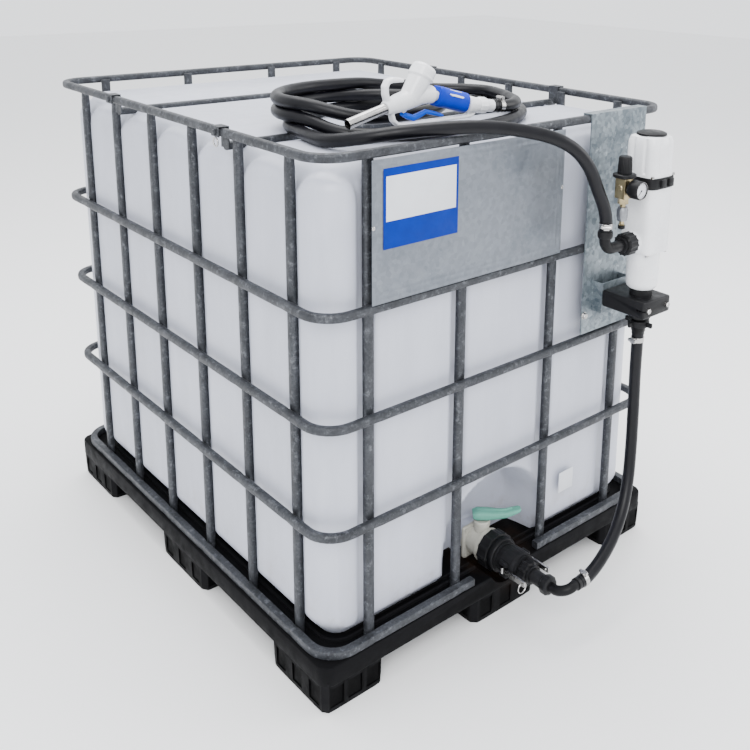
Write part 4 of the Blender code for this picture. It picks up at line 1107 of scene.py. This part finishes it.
def make_pump():
    cap_z = high("motor_housing").z
    motor_z = low("motor_housing").z
    motor = upright([
        (0, cap_z - 0.007), (0.030, cap_z - 0.007), (0.0360, cap_z - 0.010), (0.0392, cap_z - 0.018),
        (0.0402, cap_z - 0.030), (0.0402, motor_z + 0.034), (0.0412, motor_z + 0.030), (0.0412, motor_z + 0.0245),
        (0, motor_z + 0.0245),
    ], 192, squared(4.4, 8, 0.0034, (motor_z + 0.032, cap_z - 0.012)))
    place("motor_case", motor, "white", "root", ["motor_housing"])
    cap = upright([(0, cap_z), (0.026, cap_z - 0.0006), (0.0318, cap_z - 0.003), (0.0325, cap_z - 0.0072),
                   (0, cap_z - 0.0072)], 64)
    place("motor_cap", cap, "black")
    collar = upright([(0, motor_z + 0.0240), (0.0422, motor_z + 0.0240), (0.0430, motor_z + 0.022),
                      (0.0430, motor_z + 0.002), (0.0422, motor_z), (0, motor_z)], 96, squared(5.0))
    blocks = []
    for across, deep in ((0.018, -0.0438), (-0.008, -0.0438), (0.0, 0.0438)):
        blocks.append(rounded(brick((PUMP.x + across - 0.008, PUMP.y + deep - 0.004, motor_z + 0.003),
                                    (PUMP.x + across + 0.008, PUMP.y + deep + 0.004, motor_z + 0.021)), 0.0015))
    for along in (-0.022, 0.0, 0.022):
        blocks.append(rounded(brick((PUMP.x + 0.0405, PUMP.y + along - 0.007, motor_z + 0.003),
                                    (PUMP.x + 0.0475, PUMP.y + along + 0.007, motor_z + 0.021)), 0.0015))
    place("motor_collar", merged(collar, *blocks), "black")
    body_foot = 0.829
    screws = [hex_bolt((PUMP.x + across, PUMP.y + along, motor_z + 0.0242), Z, 0.007, 0.005)
              for across in (-0.0365, 0.0365) for along in (-0.0365, 0.0365)]
    screws += [hex_bolt((PUMP.x + across, PUMP.y + along, body_foot), -Z, 0.008, 0.005)
               for across in (-0.032, 0.032) for along in (-0.032, 0.032)]
    place("pump_screws", merged(*screws), "steel")

    top = motor_z - 0.0004
    body = upright([
        (0, top), (0.0402, top), (0.0414, top - 0.003), (0.0414, body_foot + 0.016), (0.0425, body_foot + 0.013),
        (0.0425, body_foot + 0.004), (0.0408, body_foot), (0, body_foot),
    ], 128, squared(5.0))
    cylinder_foot = 0.742
    lower_part = upright([
        (0, body_foot + 0.001), (0.0370, body_foot + 0.001), (0.0362, body_foot - 0.004),
        (0.0352, cylinder_foot + 0.014), (0.0338, cylinder_foot + 0.005), (0.0290, cylinder_foot), (0, cylinder_foot),
    ])
    boss = moved(lathe([(0, 0.0020), (0.0220, 0.0020), (0.0235, 0), (0.0235, -0.012), (0, -0.012)], 48),
                 frame_at((low("pump_body").x, PUMP.y, OUTLET_Z), -X))
    place("pump_case", merged(body, lower_part, boss), "white", "root", ["pump_body"])

    block_low, block_high = low("clamp_block"), high("clamp_block")
    shoulder, foot = block_low.z - 0.015, low("pump_body").z
    neck = upright([
        (0, cylinder_foot + 0.0005), (0.0250, cylinder_foot + 0.0005), (0.0250, shoulder), (0.0160, shoulder - 0.001),
        (0.0160, foot + 0.008), (0.0145, foot + 0.006), (0.0145, foot), (0, foot),
    ], 48)
    place("pump_neck", neck, "black")

    block = rounded(brick(block_low, block_high), 0.0045, 3)
    hole = upright([(0, block_low.z - 0.01), (0.0253, block_low.z - 0.01), (0.0253, block_high.z + 0.01),
                    (0, block_high.z + 0.01)], 64)
    mid = (block_low.z + block_high.z) / 2
    slit = 0.0012
    slots = [
        brick((PUMP.x + 0.028, block_low.y - 0.001, mid - slit), (block_high.x + 0.001, block_low.y + 0.020, mid + slit)),
        brick((PUMP.x - 0.049, block_low.y - 0.001, mid - slit), (PUMP.x - 0.028, block_low.y + 0.020, mid + slit)),
    ]
    place("neck_clamp", carve(block, merged(hole, *slots)), "black", "root", ["clamp_block"])
    bolts = [hex_bolt((PUMP.x + across, block_low.y, mid), -Y, 0.011, 0.006) for across in (-0.034, 0.034)]
    place("neck_clamp_bolts", merged(*bolts), "steel")

    wing_low, wing_high = low("wing_nut").z, high("wing_nut").z
    hub = lathe([(0.0167, wing_low), (0.0225, wing_low), (0.0240, wing_low + 0.003), (0.0240, wing_high - 0.003),
                 (0.0225, wing_high), (0.0167, wing_high), (0.0167, wing_low)], 48)
    wings = []
    for quarter in range(4):
        wing = rounded(brick((0.0200, -0.0035, wing_low + 0.002), (0.0360, 0.0035, wing_high - 0.001)), 0.0018)
        wings.append(moved(wing, Matrix.Rotation(quarter * math.pi / 2, 4, "Z")))
    place("hand_nut", moved(merged(hub, *wings), Matrix.Translation(PUMP)), "black", "wing_nut", ["wing_nut"])
    hose_clamp("suction_clamp_high", Vector(SUCTION_ROUTE[-1]) - Z * 0.013, Z, HOSE_R + 0.0001, -X)


def make_outlet():
    start_x, level = high("outlet_elbow").x, OUTLET_Z
    end = Vector(FEED_ROUTE[0])
    nut = moved(lathe([(0, 0.030), (0.0200, 0.030), (0.0235, 0.027), (0.0235, 0.003), (0.0210, 0), (0, 0)], 120,
                      lugs(14, 0.0022, 0.022)), frame_at((start_x, PUMP.y, level), -X))
    bend = 0.024
    arc = [Vector((start_x - 0.001, PUMP.y, level))]
    for step in range(11):
        turn = math.pi / 2 * step / 10
        arc.append(Vector((end.x + bend - bend * math.sin(turn), PUMP.y, level + bend - bend * math.cos(turn))))
    arc.append(end - Z * 0.0003)
    elbow = sweep(arc, even_sizes(arc, 0.0120), Y, 28)
    inner_collar = moved(lathe([(0, 0.006), (0.0170, 0.006), (0.0170, 0), (0, 0)], 40),
                         frame_at((start_x - 0.030, PUMP.y, level), -X))
    collar = lathe([(0, end.z - 0.0006), (0.0155, end.z - 0.0006), (0.0162, end.z - 0.003), (0.0162, end.z - 0.012),
                    (0.0140, end.z - 0.016), (0, end.z - 0.016)], 40)
    collar = moved(collar, Matrix.Translation((end.x, end.y, 0)))
    place("delivery_elbow", merged(elbow, nut, inner_collar, collar), "black", "root", ["outlet_elbow"])
    hose_clamp("delivery_clamp", end + Z * 0.012, Z, HOSE_R + 0.0001, Vector((-0.7, -0.7, 0)))


def make_regulator():
    spot = middle("regulator_knob")
    level = low("regulator_knob").z - 0.0303
    centre = Vector((spot.x, spot.y, 0))

    flange = upright([(0, level + 0.0298), (0.0200, level + 0.0298), (0.0222, level + 0.0280), (0.0222, level + 0.0225),
                      (0.0200, level + 0.0208), (0, level + 0.0208)], 96, squared(3.0), centre)
    arm = rounded(brick((spot.x + 0.010, spot.y - 0.007, level - 0.003), (PUMP.x - 0.0412, spot.y + 0.007, level + 0.011)), 0.002)
    place("regulator_flange", merged(flange, arm), "black")
    block = rounded(brick((-0.0135, -0.0135, level - 0.024), (0.0135, 0.0135, level + 0.0208)), 0.0018)
    ports = [moved(lathe([(0, 0.0016), (0.0050, 0.0016), (0.0065, 0), (0, 0)], 24), frame_at((0, 0, level), -X)
                   @ Matrix.Translation((0, 0, 0.0135)))]
    stub = moved(lathe([(0, 0.0058), (0.0060, 0.0058), (0.0060, 0), (0, 0)], 24), frame_at((0, -0.0134, level), -Y))
    hexagon = lathe([(0, level - 0.024), (0.0115, level - 0.024), (0.0115, level - 0.036), (0, level - 0.036)], 6)
    nipple = lathe([(0, level - 0.030), (0.0060, level - 0.030), (0.0060, level - 0.072), (0.0050, level - 0.080),
                    (0.0070, level - 0.082), (0.0050, level - 0.084), (0, level - 0.084)], 32)
    brass_parts = moved(merged(block, *ports, stub, hexagon, nipple), Matrix.Translation(centre))
    place("regulator_block", brass_parts, "brass", "root", ["regulator_body"])
    tip = upright([(0, level - 0.0842), (0.0078, level - 0.0842), (0.0078, level - 0.090), (0.0050, level - 0.092),
                   (0, level - 0.092)], 24, None, centre)
    place("coupler_tip", tip, "black")

    knob_low, knob_high = low("regulator_knob").z, high("regulator_knob").z

    def grooves(turn, reach, height):
        return reach - 0.0006 * (0.5 + 0.5 * math.cos(28 * turn)) if reach > 0.0140 else reach

    knob = upright([(0, knob_high), (0.0115, knob_high), (0.0143, knob_high - 0.003), (0.0155, knob_low + 0.004),
                    (0.0155, knob_low), (0, knob_low)], 168, grooves, centre)
    place("pressure_knob", knob, "black", "regulator_knob", ["regulator_knob"])

    def knurls(turn, reach, height):
        return reach - 0.0005 * (0.5 + 0.5 * math.cos(30 * turn)) if reach > 0.0110 else reach

    sleeve_low, sleeve_high = low("coupler_sleeve").z, high("coupler_sleeve").z
    sleeve = upright([(0.0063, sleeve_low), (0.0100, sleeve_low), (0.0105, sleeve_low + 0.005), (0.0118, sleeve_low + 0.007),
                      (0.0118, sleeve_high - 0.006), (0.0105, sleeve_high - 0.004), (0.0100, sleeve_high),
                      (0.0063, sleeve_high), (0.0063, sleeve_low)], 120, knurls, centre)
    place("coupler_grip", sleeve, "knurl", "coupler_sleeve", ["coupler_sleeve"])

    gauge_back = high("gauge_body").y
    at_gauge = frame_at((spot.x, gauge_back, level), -Y, X)
    case = lathe([(0, 0), (0.0165, 0), (0.0195, 0.004), (0.0198, 0.012), (0.0198, 0.0270), (0.0185, 0.0290),
                  (0.0172, 0.0290), (0.0172, 0.0258), (0, 0.0258)], 64)
    place("gauge_case", moved(case, at_gauge), "black", "root", ["gauge_body"])
    dial = lathe([(0, 0.0262), (0.0168, 0.0262), (0.0168, 0.0259), (0, 0.0259)], 48)
    place("gauge_dial", moved(dial, at_gauge), "face")
    rim = lathe([(0.0172, 0.0288), (0.0184, 0.0291), (0.0172, 0.0275), (0.0172, 0.0288)], 64)
    place("gauge_rim", moved(rim, at_gauge), "steel")
    marks = []
    for step in range(13):
        turn = math.radians(-135 + 270 * step / 12)
        reach = 0.0022 if step % 3 else 0.0035
        mark = brick((-0.0003, 0.0155 - reach, 0.02618), (0.0003, 0.0155, 0.02632))
        marks.append(moved(mark, Matrix.Rotation(turn, 4, "Z")))
    place("gauge_marks", moved(merged(*marks), at_gauge), "black")
    needle = slab([(-0.0008, -0.0022), (0.0008, -0.0022), (0.0003, 0.0132), (-0.0003, 0.0132)], 0.0005)
    hub = lathe([(0, 0.00035), (0.0018, 0.00035), (0.0018, -0.00035), (0, -0.00035)], 20)
    needle_spot = Vector((spot.x, middle("gauge_needle").y, level))
    pointing = Matrix.Translation(needle_spot) @ Matrix.Rotation(math.radians(-135), 4, "Y") @ Matrix.Rotation(
        math.radians(90), 4, "X")
    place("needle", moved(merged(needle, hub), pointing), "black", "gauge_needle", ["gauge_needle"])


# ---------------------------------------------------------------- nozzle
NOZZLE_Y = middle("nozzle_grip").y


def on_nozzle(across, height):
    return Vector((across, NOZZLE_Y, height))


def nozzle_sweep(route, sizes, sides=24, power=2.4):
    """A solid along points of the nozzle's upright plane, each with its half width across the plane."""
    return sweep([on_nozzle(*spot) for spot in route], sizes, Y, sides, power)


def fused(piece, voxel, rounds):
    """Melt the overlapping solids of a piece into one smooth skin."""
    melt = piece.modifiers.new("melt", "REMESH")
    melt.mode = "VOXEL"
    melt.voxel_size = voxel
    melt.use_smooth_shade = True
    soft = piece.modifiers.new("soft", "SMOOTH")
    soft.factor = 0.5
    soft.iterations = rounds
    return piece


def make_nozzle():
    barrel = nozzle_sweep(
        [(-0.2357, 1.1571), (-0.2250, 1.1600), (-0.2050, 1.1645), (-0.1800, 1.1700), (-0.1500, 1.1760), (-0.1180, 1.1755)],
        [(0.0135, 0.0135), (0.0150, 0.0150), (0.0185, 0.0185), (0.0195, 0.0195), (0.0195, 0.0195), (0.0185, 0.0180)])
    tower = nozzle_sweep(
        [(-0.1780, 1.1680), (-0.1640, 1.1880), (-0.1530, 1.2040), (-0.1470, 1.2130)],
        [(0.0200, 0.0190), (0.0215, 0.0205), (0.0230, 0.0215), (0.0235, 0.0220)])
    head = nozzle_sweep(
        [(-0.1500, 1.2090), (-0.1480, 1.2120), (-0.1370, 1.2280), (-0.1340, 1.2320), (-0.1330, 1.2335)],
        [(0.0225, 0.0220), (0.0252, 0.0245), (0.0250, 0.0240), (0.0225, 0.0215), (0.0160, 0.0150)])
    band = nozzle_sweep(
        [(-0.1455, 1.2125), (-0.1440, 1.2145)], [(0.0262, 0.0252), (0.0262, 0.0252)])
    core = nozzle_sweep([(-0.1200, 1.1750), (-0.0150, 1.1460)], [(0.0105, 0.0105), (0.0105, 0.0105)])
    rear = nozzle_sweep(
        [(-0.0215, 1.1465), (-0.0170, 1.1455), (-0.0020, 1.1430), (0.0100, 1.1415)],
        [(0.0150, 0.0150), (0.0190, 0.0185), (0.0175, 0.0170), (0.0150, 0.0150)])
    hook = nozzle_sweep(
        [(-0.2230, 1.1600), (-0.2310, 1.1700), (-0.2360, 1.1850), (-0.2365, 1.2000), (-0.2310, 1.2095),
         (-0.2200, 1.2120), (-0.2050, 1.2110), (-0.1940, 1.2095)],
        [(0.0085, 0.0060)] * 6 + [(0.0082, 0.0052), (0.0074, 0.0038)], 16, 3.0)
    guard = nozzle_sweep(
        [(-0.2180, 1.1560), (-0.2210, 1.1440), (-0.2170, 1.1320), (-0.2080, 1.1240), (-0.1950, 1.1212),
         (-0.1500, 1.1210), (-0.0400, 1.1210), (-0.0120, 1.1214), (-0.0035, 1.1260), (-0.0025, 1.1340), (-0.0030, 1.1420)],
        [(0.0085, 0.0055)] + [(0.0090, 0.0042)] * 9 + [(0.0090, 0.0052)], 16, 3.0)
    cheeks = nozzle_sweep([(-0.1960, 1.1560), (-0.1920, 1.1460)], [(0.0085, 0.0100), (0.0078, 0.0075)], 20, 3.0)
    slot = brick((-0.2100, NOZZLE_Y - 0.0062, 1.1240), (-0.0900, NOZZLE_Y + 0.0062, 1.1480))
    shell = carve(merged(barrel, tower, head, band, core, rear, hook, cheeks), slot, many=True)
    body = place("nozzle_shell", merged(shell, guard), "white", "root", ["nozzle_body"])
    fused(body, 0.0012, 2)

    base, tip = on_nozzle(-0.2360, 1.1570), on_nozzle(-0.3260, 1.1352)
    along = tip - base
    run = along.length
    tube = lathe([(0.0097, 0.0), (0.0112, 0.0), (0.0112, 0.004), (0.0105, 0.005), (0.0105, run - 0.001),
                  (0.0101, run), (0.0094, run), (0.0092, 0.0), (0.0097, 0.0)], 48)
    spout = place("spout_tube", moved(tube, frame_at(base, along)), "steel", "root", ["nozzle_spout"])

    front, rear_end = on_nozzle(-0.1070, 1.1714), on_nozzle(-0.0280, 1.1496)
    way = (rear_end - front).normalized()
    length = (rear_end - front).length
    sleeve = lathe([
        (0.0113, 0), (0.0195, 0), (0.0210, 0.003), (0.0213, 0.012), (0.0207, length / 2), (0.0213, length - 0.012),
        (0.0210, length - 0.003), (0.0195, length), (0.0113, length), (0.0113, 0),
    ], 72, squared(3.0))
    grip = place("grip_sleeve", moved(sleeve, frame_at(front, way, Y)), "blue", "root", ["nozzle_grip"])
    window = slab([(along_it, across) for along_it, across in (
        (-0.020, -0.0055), (-0.016, -0.0075), (0.016, -0.0075), (0.020, -0.0055),
        (0.020, 0.0055), (0.016, 0.0075), (-0.016, 0.0075), (-0.020, 0.0055))], 0.0016)
    dots = [moved(lathe([(0, 0.0008), (0.0020, 0.0008), (0.0020, -0.0008), (0, -0.0008)], 20),
                  Matrix.Translation((spot, 0.004, 0))) for spot in (-0.0325, 0.0325)]
    facing = (way.cross(Z)).cross(way).normalized()
    lean = (-Y * 0.80 + facing * 0.60).normalized()
    middle_spot = front.lerp(rear_end, 0.5)
    across_it = lean.cross(way).normalized()
    turn = Matrix((way, across_it, lean)).transposed().to_4x4()
    patch_at = Matrix.Translation(middle_spot + lean * 0.0217) @ turn
    window_piece = place("grip_window", moved(merged(window, *dots), patch_at), "label_white")

    swivel_start, hose_end = on_nozzle(0.0106, 1.1414), Vector(TAIL_ROUTE[0])
    span = hose_end - swivel_start
    run = span.length - 0.0006
    swivel = moved(lathe([(0, 0), (0.0145, 0), (0.0168, 0.003), (0.0168, 0.020), (0.0150, 0.024), (0.0135, 0.027),
                          (0.0135, run - 0.012), (0, run - 0.012)], 96, lugs(12, 0.0007, 0.0165)),
                   frame_at(swivel_start, span))
    swivel = place("hose_swivel", swivel, "white", "root", ["nozzle_swivel"])
    ferrule = moved(lathe([(0, run), (0.0130, run), (0.0145, run - 0.002), (0.0145, run - 0.0125), (0, run - 0.0125)], 48),
                    frame_at(swivel_start, span))
    ferrule = place("hose_ferrule", ferrule, "black")
    clamp = hose_clamp("nozzle_clamp", hose_end + span.normalized() * 0.012, span, HOSE_R + 0.0001, Z)

    pivot = Vector((-0.1900, NOZZLE_Y, 1.1415))
    way_points = [(-0.002, 0.0), (0.010, -0.0050), (0.025, -0.0100), (0.040, -0.0060), (0.057, 0.0000),
                  (0.078, -0.0055), (0.098, -0.0112), (0.103, -0.0122)]
    half_sizes = [(0.0052, 0.0042), (0.0054, 0.0060), (0.0055, 0.0064), (0.0055, 0.0056), (0.0055, 0.0048),
                  (0.0055, 0.0044), (0.0052, 0.0036), (0.0040, 0.0022)]
    lever = sweep([pivot + Vector((across, 0, up)) for across, up in way_points], half_sizes, Y, 20, 3.0)
    pin = moved(lathe([(0, 0.006), (0.0040, 0.006), (0.0040, -0.006), (0, -0.006)], 24), frame_at(pivot, Y))
    trigger = place("trigger", merged(lever, pin), "bright_blue", "nozzle_trigger", ["nozzle_trigger"])
    return [body, spout, grip, window_piece, swivel, ferrule, clamp, trigger]


# ---------------------------------------------------------------- CAD nodes kept with a finer look
def give_look(node, look):
    item = bpy.data.objects[node]
    item.data.materials.clear()
    item.data.materials.append(MATS[look])


make_tank()
make_lid()
make_pallet()
make_top_bars()
make_front_plate()
make_bracket_fixings()
make_valve()
suction_pieces = make_couplings()
make_pump()
make_outlet()
make_regulator()
nozzle_pieces = make_nozzle()
for kept_node, kept_look in (
    ("cam_coupler", "black"), ("cam_lever_left", "steel"), ("cam_lever_right", "steel"), ("finger_ring", "steel"),
    ("pump_bracket", "sheet"),
):
    give_look(kept_node, kept_look)
